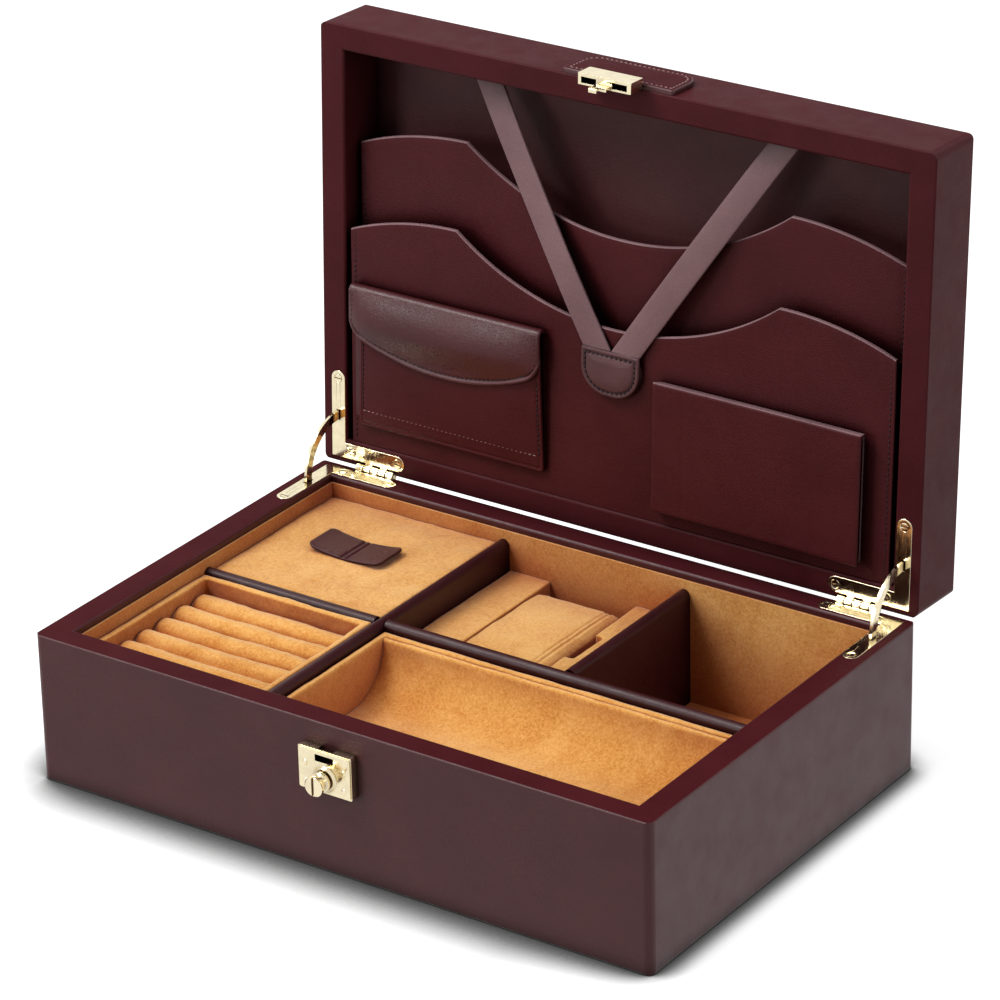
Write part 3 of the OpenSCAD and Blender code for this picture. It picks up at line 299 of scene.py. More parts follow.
# Straps are much lighter than the lid's leather: a painted highlight standing for the light they reflect.
strap_leather = leather("strap_leather", (0.150, 0.080, 0.088), (0.205, 0.116, 0.123), 0.46, 0.25)
tab_leather = leather("tab_leather", (0.070, 0.027, 0.030), (0.105, 0.044, 0.048), 0.46, 0.25, 0.4)
# Lighter leather for cut edges: a painted highlight where the edges catch the light.
edge_leather = leather("edge_leather", (0.16, 0.085, 0.095), (0.24, 0.14, 0.15), 0.45, 0.2)
hem_leather = leather("hem_leather", (0.085, 0.032, 0.037), (0.120, 0.050, 0.057), 0.36, 0.2)
pull_leather = leather("pull_leather", (0.042, 0.0090, 0.0120), (0.066, 0.0160, 0.0180), 0.30, 0.2)
purse_leather = leather("purse_leather", (0.050, 0.0078, 0.0098), (0.068, 0.0120, 0.0150), 0.30, 0.3)

SLOTS = {m["slot"] for m in frame["record"]["materials"]}


def slot_of(node):
    for m in nodes[node].data.materials:
        for s in SLOTS:
            if m and m.name.split(".")[0] == s:
                return s
    return None


# Building pieces


def make(name, verts, faces, body, slot, place=None, material=None, angle=38):
    """A new piece from points in millimetres, in the row frame or in the lid's coordinates."""
    pts = [Vector(p) * MM for p in verts]
    if place is not None:
        pts = [place @ p for p in pts]
    mesh = bpy.data.meshes.new(name)
    mesh.from_pydata(pts, [], faces)
    bm = bmesh.new()
    bm.from_mesh(mesh)
    bmesh.ops.remove_doubles(bm, verts=bm.verts, dist=1e-7)
    bmesh.ops.dissolve_degenerate(bm, edges=bm.edges, dist=1e-8)
    bmesh.ops.recalc_face_normals(bm, faces=bm.faces)
    bm.to_mesh(mesh)
    bm.free()
    obj = bpy.data.objects.new(name, mesh)
    return dress(obj, body, slot, material, angle)


def dress(obj, body, slot, material=None, angle=38):
    mesh = obj.data
    mesh.polygons.foreach_set("use_smooth", [True] * len(mesh.polygons))
    mesh.set_sharp_from_angle(angle=math.radians(angle))
    mesh.materials.clear()
    mesh.materials.append(material or materials[slot])
    if obj.name not in scene.collection.objects:
        scene.collection.objects.link(obj)
    if body:
        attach(obj, body)
    return obj


def applied(obj):
    """Turns an object's modifiers into its mesh."""
    graph = bpy.context.evaluated_depsgraph_get()
    mesh = bpy.data.meshes.new_from_object(obj.evaluated_get(graph))
    obj.modifiers.clear()
    obj.data = mesh
    return obj


def slab(front, back):
    """A closed panel between two grids of points."""
    rows, cols = len(front), len(front[0])
    n = rows * cols
    verts = [p for row in front for p in row] + [p for row in back for p in row]
    faces = []
    for j in range(rows - 1):
        for i in range(cols - 1):
            a = j * cols + i
            faces.append((a, a + 1, a + cols + 1, a + cols))
            faces.append((n + a, n + a + cols, n + a + cols + 1, n + a + 1))
    rim = list(range(cols)) + [j * cols + cols - 1 for j in range(1, rows)]
    rim += [(rows - 1) * cols + i for i in range(cols - 2, -1, -1)]
    rim += [j * cols for j in range(rows - 2, 0, -1)]
    for a, b in zip(rim, rim[1:] + rim[:1]):
        faces.append((a, n + a, n + b, b))
    return verts, faces


NEAR = (0, 0.08, 0.3, 0.65)


def spread(a, b, n, r):
    """Places from a to b, close together within r of both ends."""
    places = [a + r * k for k in NEAR]
    places += [a + r + (b - a - 2 * r) * i / n for i in range(n + 1)]
    places += [b - r * k for k in reversed(NEAR)]
    return places


def round_over(d, r):
    return 0 if d >= r else r - math.sqrt(max(0, r * r - (r - d) ** 2))


def wobble(x, y, z, scale, seed):
    return noise.noise(Vector((x / scale + seed, y / scale, z / scale)))


def resample(path, pitch):
    """Points and directions along a path, one every pitch."""
    out = []
    left = pitch / 2
    for a, b in zip(path, path[1:]):
        step = b - a
        if step.length < 1e-9:
            continue
        d = left
        while d <= step.length:
            out.append((a + step * (d / step.length), step.normalized()))
            d += pitch
        left = d - step.length
    return out


def stitching(name, paths, out, body, slot, place, material, pitch=2.3, length=1.6, r=0.24):
    """Rows of thread along paths in millimetres; out is the direction away from the leather."""
    verts, faces = [], []
    out = Vector(out).normalized()
    rings = ((-0.5, 0.35, -0.9), (-0.32, 0.95, 0.0), (0.0, 1.1, 0.35), (0.32, 0.95, 0.0), (0.5, 0.35, -0.9))
    for path in paths:
        for p, along in resample([Vector(q) for q in path], pitch):
            side = out.cross(along).normalized()
            first = len(verts)
            for at, wide, lift in rings:
                for k in range(6):
                    a = 2 * math.pi * k / 6
                    verts.append(p + along * at * length + side * r * wide * math.cos(a)
                                 + out * (r * wide * math.sin(a) + lift * r * 0.6))
            for i in range(4):
                for k in range(6):
                    a, b = first + i * 6 + k, first + i * 6 + (k + 1) % 6
                    faces.append((a, b, b + 6, a + 6))
            faces.append(tuple(first + 5 - k for k in range(6)))
            faces.append(tuple(first + 24 + k for k in range(6)))
    return make(name, verts, faces, body, slot, place, material)


def softened(node, body, slot, voxel, smooth, swell=0.0, wave=0.0, seed=0.0, dip=None):
    """A soft copy of a CAD solid: its edges rounded, its faces swollen and a little uneven."""
    obj = bpy.data.objects.new(node + "_soft", nodes[node].data.copy())
    scene.collection.objects.link(obj)
    bm = bmesh.new()
    bm.from_mesh(obj.data)
    bmesh.ops.remove_doubles(bm, verts=bm.verts, dist=1e-6)
    bm.to_mesh(obj.data)
    bm.free()
    remesh = obj.modifiers.new("remesh", "REMESH")
    remesh.mode = "VOXEL"
    remesh.voxel_size = voxel * MM
    soft = obj.modifiers.new("smooth", "SMOOTH")
    soft.factor = 0.5
    soft.iterations = smooth
    applied(obj)
    mesh = obj.data
    moved = []
    for v in mesh.vertices:
        p = v.co / MM
        d = swell + wave * wobble(p.x, p.y, p.z, 14, seed) + 0.4 * wave * wobble(p.x, p.y, p.z, 4, seed + 9)
        d -= dip(p) if dip else 0
        moved.append(v.co + v.normal * d * MM)
    for v, co in zip(mesh.vertices, moved):
        v.co = co
    dress(obj, body, slot, angle=80)
    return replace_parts(obj, node)


# Carried-over nodes take these finishes

for node, obj in nodes.items():
    s = slot_of(node)
    if s is None:
        raise ValueError(f"no slot for {node}: {[m.name for m in obj.data.materials]}")
    obj.data.materials.clear()
    obj.data.materials.append(materials[s])
nodes["lid_lining"].data.materials[0] = lid_lining_leather
for node in ("lid_front_wall", "lid_back_wall", "lid_left_wall", "lid_right_wall", "lid_top"):
    nodes[node].data.materials[0] = lid_leather


def crisp(node, width):
    """Small bevels on a hard piece, so that its edges catch the light."""
    obj = nodes[node]
    weld = obj.modifiers.new("weld", "WELD")
    weld.merge_threshold = 1e-6
    bevel = obj.modifiers.new("bevel", "BEVEL")
    bevel.width = width * MM
    bevel.segments = 2
    bevel.limit_method = "ANGLE"
    bevel.angle_limit = math.radians(35)
    bevel.harden_normals = False
    obj.modifiers.new("normals", "WEIGHTED_NORMAL")


GOLD_EDGES = {"base_hinge_left": 0.2, "base_hinge_right": 0.2, "lid_hinge_left": 0.2, "lid_hinge_right": 0.2,
              "stay_left": 0.15, "stay_right": 0.15, "lock_case": 0.25, "hasp_plate": 0.25,
              "hasp_tongue": 0.12, "lock_knob": 0.12, "lock_rivets": 0.1, "base_hinge_screws": 0.12,
              "lid_hinge_screws": 0.12, "hasp_screws": 0.1}
for node, width in GOLD_EDGES.items():
    crisp(node, width)

# Suede fittings

softened("ring_tray", "base", "suede", 0.7, 4, 0.15, 0.45, 1.0)
softened("scoop_frame", "base", "suede", 0.8, 3, 0.1, 0.25, 2.0)
softened("scoop_sheet", "base", "suede", 0.8, 3, 0.1, 0.3, 3.0)
softened("watch_ledge_left", "base", "suede", 0.7, 2, 0.1, 0.2, 4.0)
softened("watch_ledge_right", "base", "suede", 0.7, 4, 0.15, 0.3, 5.0)
softened("watch_deck", "base", "suede", 0.9, 4, 0.1, 0.3, 6.0)
softened("cover_strips", "base", "suede", 0.7, 4, 0.1, 0.2, 7.0)
rolls = softened("ring_rolls", "base", "suede", 0.7, 4, 0.2, 0.5, 8.0)
pillow_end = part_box("watch_pillow")[1] / MM
PILLOW_SEAMS = (5.0, 7.0)


def pillow_seams(p):
    """Two rows of stitches that draw in the pillow's top near its right end."""
    on_top = min(1, max(0, (p.z - pillow_end.z + 9) / 4))
    return on_top * sum(0.5 * math.exp(-(((pillow_end.x - p.x - at) / 0.5) ** 2)) for at in PILLOW_SEAMS)


pillow = softened("watch_pillow", "pillow", "suede", 0.5, 4, 0.12, 0.35, 9.0, pillow_seams)
cover = softened("cover_panel", "cover", "suede", 0.8, 6, 0.15, 0.4, 10.0)

# Leather patches


def rounded_outline(lo, hi, radii, arc=8, run=10):
    """Outline of a rectangle at any inset, with a radius per corner, counted round from low left."""
    (x0, y0), (x1, y1) = lo, hi

    def at(d):
        pts = []
        corners = ((x0, y0, 1, 1, 180), (x1, y0, -1, 1, 270), (x1, y1, -1, -1, 0), (x0, y1, 1, -1, 90))
        for (cx, cy, sx, sy, first), r in zip(corners, radii):
            off, size = max(r, d), max(r - d, 0)
            for k in range(arc + 1):
                a = math.radians(first + 90 * k / arc)
                pts.append(Vector((cx + sx * off + size * math.cos(a), cy + sy * off + size * math.sin(a))))
        full = []
        for i, p in enumerate(pts):
            full.append(p)
            if i % (arc + 1) == arc:
                q = pts[(i + 1) % len(pts)]
                full += [p.lerp(q, k / run) for k in range(1, run)]
        return full

    return at


def patch(outline, insets, rings, front, back):
    """A closed patch of leather: rings inside an outline, with heights for its front and back."""
    loops = [(outline(d), d) for d in insets]
    last, deep = loops[-1]
    middle = sum(last, Vector((0, 0))) / len(last)
    for k in range(1, rings):
        inset = deep + (middle - last[0]).length * k / rings
        loops.append(([p.lerp(middle, k / rings) for p in last], inset))
    n = len(last)
    verts, faces = [], []
    for height, turn in ((front, 1), (back, -1)):
        first = len(verts)
        for pts, d in loops:
            verts += [(p.x, p.y, height(p.x, p.y, d)) for p in pts]
        verts.append((middle.x, middle.y, height(middle.x, middle.y, 1e3)))
        for j in range(len(loops) - 1):
            for i in range(n):
                a, b = first + j * n + i, first + j * n + (i + 1) % n
                faces.append((a, b, b + n, a + n)[::turn])
        for i in range(n):
            a, b = first + (len(loops) - 1) * n + i, first + (len(loops) - 1) * n + (i + 1) % n
            faces.append((a, b, len(verts) - 1)[::turn])
    half = len(verts) // 2
    for i in range(n):
        faces.append((i, half + i, half + (i + 1) % n, (i + 1) % n))
    return verts, faces


EDGE_INSETS = (0, 0.06, 0.2, 0.42, 0.7, 1.2)
SEAM_INSETS = EDGE_INSETS + (1.6, 1.9, 2.1, 2.3, 2.6, 3.1, 4.0)


def seam(d, at=2.1, wide=0.5, deep=0.3):
    """Depth of the furrow that a row of stitches pulls into leather."""
    return deep * math.exp(-(((d - at) / wide) ** 2))


def closed(points):
    return list(points) + [points[0]]


# Lid pockets

KNEE_X, KNEE_RISE, SIDE_FALL = 80.5, 27.6, 10.6
POCKET_EDGE, POCKET_SEAM, POCKET_LEAN = 0.6, 2.2, 34
FREE_FROM, FREE_RUN = 88, 10
knee_r = (KNEE_X ** 2 + KNEE_RISE ** 2) / (2 * KNEE_RISE)


def mouth(x, top, half):
    """Height of a pocket's mouth: a dip between two knees, with a fall towards the sides."""
    a = abs(x)
    if a <= KNEE_X:
        return top - KNEE_RISE + knee_r - math.sqrt(knee_r ** 2 - a * a)
    run = half - KNEE_X
    r = (run ** 2 + SIDE_FALL ** 2) / (2 * SIDE_FALL)
    return top - r + math.sqrt(r ** 2 - (a - KNEE_X) ** 2)


def pocket(node, seed):
    lo, hi = lid_box(node)
    half, top, foot = hi.x, hi.y, lo.y
    xs = sorted(spread(-half, half, 150, POCKET_EDGE) + [-KNEE_X, KNEE_X])
    front, back = [], []
    columns = [(x, spread(foot, mouth(x, top, half), 46, POCKET_EDGE)) for x in xs]
    for j in range(len(columns[0][1])):
        row, rear = [], []
        for x, vs in columns:
            v, high = vs[j], vs[-1]
            lean = max(0, (v - high + POCKET_LEAN) / POCKET_LEAN) ** 2
            lean *= 0.35 + 0.35 * wobble(x, 0, 0, 46, seed)
            ripple = 0.12 * wobble(x, v, 0, 22, seed + 5)
            edge = max(round_over(half - abs(x), POCKET_EDGE), round_over(high - v, POCKET_EDGE))
            furrow = seam(half - abs(x), POCKET_SEAM) if v > foot + 1 else 0
            fade = min(1, max(0, (v - FREE_FROM) / FREE_RUN))
            row.append((x, v, hi.z + fade * (lean + ripple) - edge - furrow))
            rear.append((x, v, lo.z + fade * (lean + ripple)))
        front.append(row)
        back.append(rear)
    verts, faces = slab(front, back)
    obj = make(node + "_leather", verts, faces, "lid", "leather", LID, pocket_leather)
    obj.data.materials.append(edge_leather)
    # The mouth's edge faces take the lighter edge leather, a painted highlight.
    for p in obj.data.polygons:
        c = in_lid(p.center)
        if c.y > mouth(c.x, top, half) - 0.5 and abs(c.x) < half - 0.4:
            p.material_index = 1
    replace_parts(obj, node)
    rows = []
    for side in (-1, 1):
        x = side * (half - POCKET_SEAM)
        rows.append([(x, v, hi.z - 0.12) for v in (foot + 2, mouth(x, top, half) - 2)])
    stitching(node + "_stitches", rows, (0, 0, 1), "lid", "leather", LID, thread_dark, 2.4, 1.6, 0.26)


pocket("upper_pocket", 1.0)
pocket("lower_pocket", 2.0)

# Straps and the tab that holds them

tab_lo, tab_hi = lid_box("strap_tab")
STRAP_W, STRAP_T, STRAP_EDGE, STRAP_BOW = 12.0, 1.2, 0.45, 1.8


def strap(node, side):
    lo, hi = lid_box(node)
    top_v, foot_v = hi.y, tab_hi.y - 4
    run = top_v - tab_hi.y
    foot_x = side * (tab_hi.x - tab_lo.x) / 4
    slope = abs((hi.x if side > 0 else -lo.x) - abs(foot_x)) / run
    half = STRAP_W / 2 * math.sqrt(1 + slope ** 2)
    top_x = side * ((hi.x if side > 0 else -lo.x) - half)
    slope = (top_x - foot_x) / run
    half = STRAP_W / 2 * math.sqrt(1 + slope ** 2)
    low_w, high_w = 0.75 + 0.35 * (side > 0), lo.z + STRAP_T / 2 + 0.1
    front, back = [], []
    for v in spread(foot_v, top_v, 60, 0.5):
        t = (v - tab_hi.y) / run
        mid_x = foot_x + slope * (v - tab_hi.y)
        mid_w = low_w + (high_w - low_w) * t + STRAP_BOW * 4 * max(t, 0) * (1 - t)
        mid_w += 0.5 * wobble(0, v, 0, 40, 3 + side)
        row, rear = [], []
        for s in spread(-half, half, 8, STRAP_EDGE):
            cup = 0.35 * (s / half) ** 2 + side * 0.5 * s / half * math.sin(math.pi * max(0, t))
            edge = round_over(half - abs(s), STRAP_EDGE)
            row.append((mid_x + s, v, mid_w + STRAP_T / 2 - cup - edge))
            rear.append((mid_x + s, v, mid_w - STRAP_T / 2 - cup + edge * 0.8))
        front.append(row)
        back.append(rear)
    verts, faces = slab(front, back)
    obj = make(node + "_leather", verts, faces, "lid", "leather", LID, strap_leather)
    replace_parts(obj, node)


strap("strap_left", -1)
strap("strap_right", 1)

tab_outline = rounded_outline((tab_lo.x, tab_lo.y), (tab_hi.x, tab_hi.y), (12.5, 12.5, 0.8, 0.8), 12, 12)


def tab_front(x, v, d):
    bulge = 0.7 * min(1, max(0, d - 2.4) / 4) ** 0.8
    return tab_hi.z - 0.1 + bulge + 0.2 * wobble(x, v, 0, 9, 6) - round_over(d, 0.7) - seam(d)


def tab_back(x, v, d):
    under = min(1, max(0, (v - tab_hi.y + 7) / 4))
    return tab_lo.z + under * (tab_hi.z - tab_lo.z - 1.3)


verts, faces = patch(tab_outline, SEAM_INSETS, 5, tab_front, tab_back)
tab = make("strap_tab_leather", verts, faces, "lid", "leather", LID, tab_leather)
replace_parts(tab, "strap_tab")
ring = [(p.x, p.y, tab_hi.z - 0.15) for p in closed(tab_outline(2.1))]
stitching("strap_tab_stitches", [ring], (0, 0, 1), "lid", "leather", LID, thread_dark, 2.3, 1.7, 0.36)

# Purse: back and flap in one piece over the fold, a front, and a pleated gusset

SKIN = 1.1
back_lo, back_hi = lid_box("purse_back")
flap_lo, flap_hi = lid_box("purse_flap")
front_lo, front_hi = lid_box("purse_front")
PURSE_MORE = 4.0
for corner in (back_hi, flap_hi, front_hi):
    corner.x += PURSE_MORE
purse_mid = (back_lo.x + back_hi.x) / 2
flap_half = (flap_hi.x - flap_lo.x) / 2
turn_w = (back_lo.z + flap_hi.z) / 2
turn_r = flap_hi.z - turn_w - SKIN / 2
turn_v = flap_hi.y - turn_r - SKIN / 2
FLAP_BOW, FLAP_CORNER, CORNER_AT = 12.0, 7.0, 0.86


def flap_end(t):
    """Lower edge of the flap, t from -1 to 1 across it."""
    corner = max(0, (abs(t) - CORNER_AT) / 0.14)
    rounded = FLAP_CORNER * (1 - math.sqrt(max(0, 1 - corner ** 2)))
    return flap_lo.y + 0.2 + FLAP_BOW * abs(t) ** 2.1 + rounded


FOLD_STOP = math.radians(66)
fold_v = turn_v + turn_r * math.cos(FOLD_STOP)
fold_w = turn_w + turn_r * math.sin(FOLD_STOP)
PUFF, PUFF_AT, FLAT_AT = 2.9, 13.0, 27.5


def flap_puff(t, v):
    """How far the flap stands out from its fold, t from -1 to 1 across it."""
    down = min(FLAT_AT, max(0, fold_v - v))
    if down < PUFF_AT:
        k = down / PUFF_AT
        out = PUFF * k * k * (3 - 2 * k) + PUFF_AT / math.tan(FOLD_STOP) * k * (1 - k) ** 2
    else:
        k = (down - PUFF_AT) / (FLAT_AT - PUFF_AT)
        out = PUFF - PUFF * k * k * (3 - 2 * k)
    return out * (1 - abs(t) ** (4 if t > 0 else 8))


def hem(near):
    """Height of the flap's sewn border by distance from the edge: a bead, then the furrow of the stitches."""
    return 0.4 * math.exp(-(((near - 1.1) / 0.6) ** 2)) - seam(near, 2.3, 0.45, 0.4)


def purse_section(t):
    """Middle line of back, fold and flap as (v, w, distance to the flap's lower edge)."""
    pts = []
    for k in range(24):
        pts.append((back_lo.y + (turn_v - back_lo.y) * k / 24, back_lo.z + SKIN / 2, 99))
    for k in range(22):
        a = (math.pi / 2 + FOLD_STOP) * k / 22 - math.pi / 2
        pts.append((turn_v + turn_r * math.cos(a), turn_w + turn_r * math.sin(a), 99))
    end = flap_end(t)
    slant = math.sqrt(1 + (2 * FLAP_BOW * t / flap_half) ** 2)
    for v in reversed(spread(end, fold_v, 44, 0.6)[:-2]):
        pts.append((v, fold_w + flap_puff(t, v), (v - end) / slant))
    return pts


HEM_FROM, HEM_WIDE = 28, 1.9
outer, inner = [], []
for t in spread(-1, 1, 80, 0.012):
    mid = purse_section(t)
    side = flap_half * (1 - abs(t))
    upper, under = [], []
    for i, (v, w, edge) in enumerate(mid):
        a, b = mid[max(0, i - 1)], mid[min(len(mid) - 1, i + 1)]
        run = Vector((b[0] - a[0], b[1] - a[1])).normalized()
        facing = Vector((run.y, -run.x))
        near = min(side, edge)
        push = SKIN / 2 - round_over(near, 0.5) + (hem(near) if i > HEM_FROM else 0)
        x = purse_mid + flap_half * t
        upper.append((x, v + facing.x * push, w + facing.y * push))
        under.append((x, v - facing.x * SKIN / 2, w - facing.y * SKIN / 2))
    outer.append(upper)
    inner.append(under)
verts, faces = slab(outer, inner)
flap = make("purse_back_and_flap", verts, faces, None, "leather", LID, purse_leather)
flap.data.materials.append(hem_leather)
for poly in flap.data.polygons:
    c = in_lid(poly.center)
    t = (c.x - purse_mid) / flap_half
    if c.z > turn_w and c.y - flap_end(max(-1, min(1, t))) < HEM_WIDE:
        poly.material_index = 1
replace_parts(flap, "purse_back", "purse_flap")
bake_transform(flap)


def flap_point(t, in_from_edge):
    """A point on the flap's face, a little in from its lower edge."""
    v = flap_end(t) + in_from_edge
    return (purse_mid + flap_half * t, v, fold_w + SKIN / 2 + flap_puff(t, v) - 0.2)


inset_t = 1 - 2.2 / flap_half
sweep = [inset_t * (k / 40 - 1) for k in range(81)]
hem_row = [flap_point(t, 2.4 + 1.2 * abs(t) ** 3) for t in sweep]
sides = []
for t in (-inset_t, inset_t):
    run = [hem_row[0][1] + (turn_v - 0.5 - hem_row[0][1]) * k / 16 for k in range(17)]
    sides.append([(purse_mid + flap_half * t, v, fold_w + SKIN / 2 + flap_puff(t, v) - 0.2) for v in run])
stitching("purse_flap_stitches", [hem_row] + sides, (0, 0, 1), "flap", "leather", LID, thread_dark,
          2.3, 1.6, 0.26)

FRONT_IN, FRONT_IN_RIGHT, FOOT_DROP = 4.4, -0.6, 2.6
FRONT_DOWN, FLARE_LEFT, FLARE_RIGHT = 3.2, 3.0, 1.2
FOOT_SEAM, SIDE_SEAM = 4.2, 1.8
foot_v = front_lo.y - FRONT_DOWN
face_outline = rounded_outline((front_lo.x + FRONT_IN, foot_v), (front_hi.x - FRONT_IN_RIGHT, front_hi.y),
                               (2.0, 2.0, 1.0, 1.0), 6, 24)
shade_v = flap_lo.y + FLAP_BOW


def foot_drop(v):
    """How much nearer to the lid the purse's front lies, towards its foot."""
    return FOOT_DROP * min(1, max(0, (front_hi.y - v) / (front_hi.y - foot_v))) ** 1.3


def flared(x, v):
    """Place across of a point of the purse's front, whose sides spread towards its foot."""
    low = min(1, max(0, (front_hi.y - v) / (front_hi.y - foot_v)))
    k = (x - front_lo.x - FRONT_IN) / (front_hi.x - FRONT_IN_RIGHT - front_lo.x - FRONT_IN)
    return x + low * (FLARE_RIGHT * k - FLARE_LEFT * (1 - k))


def face_front(x, v, d):
    hidden = min(1, max(0, (shade_v - v) / 14))
    bulge = 0.6 * hidden * min(1, max(0, d - 1) / 12) + 0.12 * wobble(x, v, 0, 18, 11) - foot_drop(v)
    row = seam(abs(v - front_lo.y - FOOT_SEAM) + 2.1, 2.1, 0.5, 0.2)
    return front_hi.z + bulge - round_over(d, 0.6) - seam(d, SIDE_SEAM, 0.5, 0.25) - row


def face_back(x, v, d):
    return front_hi.z - SKIN - foot_drop(v)


verts, faces = patch(face_outline, SEAM_INSETS, 12, face_front, face_back)
verts = [(flared(x, v), v, w) for x, v, w in verts]
face = make("purse_front_leather", verts, faces, "lid", "leather", LID, pocket_leather)
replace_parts(face, "purse_front")
low = front_lo.y + FOOT_SEAM
left_x, right_x = front_lo.x + FRONT_IN + SIDE_SEAM, front_hi.x - FRONT_IN_RIGHT - SIDE_SEAM
side_run = [low + (shade_v - 2 - low) * k / 12 for k in range(13)]
side_rows = [[(flared(x, v), v, front_hi.z - foot_drop(v)) for v in side_run] for x in (left_x, right_x)]
stitching("purse_side_stitches", side_rows, (0, 0, 1), "lid", "leather", LID, thread_dark, 2.3, 1.6, 0.26)
foot_run = [left_x + (right_x - left_x) * k / 40 for k in range(41)]
foot_row = [(flared(x, low), low, face_front(x, low, FOOT_SEAM + FRONT_DOWN) + 0.14) for x in foot_run]
stitching("purse_foot_stitches", [foot_row], (0, 0, 1), "lid", "leather", LID, thread_light, 2.3, 1.5, 0.24)


def gusset_path(d):
    """Left side, foot and right side of the purse at a distance d inside its back's edge."""
    x0, x1 = back_lo.x + 1.0 + d, back_hi.x - 2.4 - d * 0.2
    v0, v1 = back_lo.y + 0.4 + d * 0.1, front_hi.y - 1.0
    r = 3.0
    turns = [math.pi / 2 * k / 6 for k in range(7)]
    pts = [(x0, v1 + (v0 + r - v1) * k / 24) for k in range(24)]
    pts += [(x0 + r - r * math.cos(a), v0 + r - r * math.sin(a)) for a in turns]
    pts += [(x0 + r + (x1 - x0 - 2 * r) * k / 30, v0) for k in range(1, 30)]
    pts += [(x1 - r + r * math.sin(a), v0 + r - r * math.cos(a)) for a in turns]
    pts += [(x1, v0 + r + (v1 - v0 - r) * k / 24) for k in range(1, 25)]
    return pts


foot_w = back_lo.z + SKIN + 0.02
pleat = ((0.0, foot_w), (2.6, 1.15), (1.3, 1.9), (3.4, 2.5), (FRONT_IN - 0.8, front_hi.z - SKIN - 0.02))


def pleated(v, w):
    """Depth of a gusset's fold, pressed flat towards the foot with the front."""
    return foot_w + (w - foot_w) * (1 - foot_drop(v) / (pleat[-1][1] - foot_w))


rows_out = [[(x, v, pleated(v, w)) for x, v in gusset_path(d)] for d, w in pleat]
rows_in = [[(x, v, pleated(v, w)) for x, v in gusset_path(d + 0.5)] for d, w in pleat]
verts, faces = slab(rows_out, rows_in)
gusset = make("purse_gusset_leather", verts, faces, "lid", "dark_leather", LID, angle=70)
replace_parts(gusset, "purse_gusset")

# Folder: a back with its spine, and a cover

leaf_lo, leaf_hi = lid_box("folder_cover")
rear_lo, rear_hi = lid_box("folder_back")
COVER_MORE, COVER_LIFT, LIP_DEEP, REAR_LESS = 1.8, 0.9, 2.2, 2.4
REAR_HALF = 0.6
rear_hi.y -= REAR_LESS
leaf_right = leaf_hi.x + COVER_MORE
CREASE_X = leaf_lo.x + 15.5


def leaf_lift(x):
    """How far the cover stands off towards its free edge."""
    return COVER_LIFT * max(0, (x - CREASE_X) / (leaf_right - CREASE_X)) ** 2


def leaf_front(x, v, d):
    crease = 0.1 * math.exp(-(((x - CREASE_X) / 0.9) ** 2))
    return leaf_hi.z + leaf_lift(x) - crease + 0.1 * wobble(x, v, 0, 20, 13) - round_over(d, 1.0)


def leaf_back(x, v, d):
    lip = LIP_DEEP * min(1, max(0, (v - leaf_hi.y + 1.4) / 0.5)) * min(1, max(0, (x - leaf_lo.x) / 3))
    return leaf_lo.z + leaf_lift(x) - lip + round_over(d, 0.5)


def leaf_columns():
    """A fine grid for the cover, so that its crease shows."""
    xs = sorted(spread(leaf_lo.x, leaf_right, 60, 0.8) + [CREASE_X + k * 0.45 for k in range(-7, 12)])
    vs = sorted(spread(leaf_lo.y, leaf_hi.y, 40, 0.8) + [leaf_hi.y - 1.45, leaf_hi.y - 0.9])
    front, back = [], []
    for v in vs:
        ends = min(v - leaf_lo.y, leaf_hi.y - v)
        front.append([(x, v, leaf_front(x, v, min(ends, x - leaf_lo.x, leaf_right - x))) for x in xs])
        back.append([(x, v, leaf_back(x, v, min(ends, x - leaf_lo.x, leaf_right - x))) for x in xs])
    return slab(front, back)


verts, faces = leaf_columns()
leaf = make("folder_cover_leather", verts, faces, "folder", "leather", LID, pocket_leather)
leaf.data.materials.append(edge_leather)
# The cover's top lip takes the lighter edge leather, a painted highlight.
for poly in leaf.data.polygons:
    if in_lid(poly.center).y > leaf_hi.y - 0.25:
        poly.material_index = 1
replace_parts(leaf, "folder_cover")
spine_r = 1.0
rear_mid = rear_lo.z + REAR_HALF
spine_x = rear_lo.x + REAR_HALF
spine_top = rear_hi.z - 0.1
line = [(rear_hi.x - (rear_hi.x - rear_lo.x - REAR_HALF - spine_r) * k / 40, rear_mid) for k in range(41)]
line += [(spine_x + spine_r - spine_r * math.sin(a), rear_mid + spine_r - spine_r * math.cos(a))
         for a in [math.pi / 2 * k / 8 for k in range(1, 9)]]
line += [(spine_x, rear_mid + spine_r + (spine_top - rear_mid - spine_r) * k / 6) for k in range(1, 7)]
outer, inner = [], []
for v in spread(rear_lo.y, rear_hi.y, 30, 0.5):
    near, far = [], []
    for i, (x, w) in enumerate(line):
        a, b = line[max(0, i - 1)], line[min(len(line) - 1, i + 1)]
        run = Vector((b[0] - a[0], b[1] - a[1])).normalized()
        facing = Vector((run.y, -run.x))
        thin = round_over(min(v - rear_lo.y, rear_hi.y - v), 0.5)
        near.append((x + facing.x * (REAR_HALF - thin), v, w + facing.y * (REAR_HALF - thin)))
        far.append((x - facing.x * REAR_HALF, v, w - facing.y * REAR_HALF))
    outer.append(near)
    inner.append(far)
verts, faces = slab(outer, inner)
rear = make("folder_back_leather", verts, faces, "lid", "leather", LID, pocket_leather)
rear.data.materials.append(edge_leather)
# The back's free right edge takes the lighter edge leather, a painted highlight.
for poly in rear.data.polygons:
    if in_lid(poly.center).x > rear_hi.x - 0.1:
        poly.material_index = 1
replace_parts(rear, "folder_back")

# Leather tab over the hasp's foot, on the outside of the lid's front wall

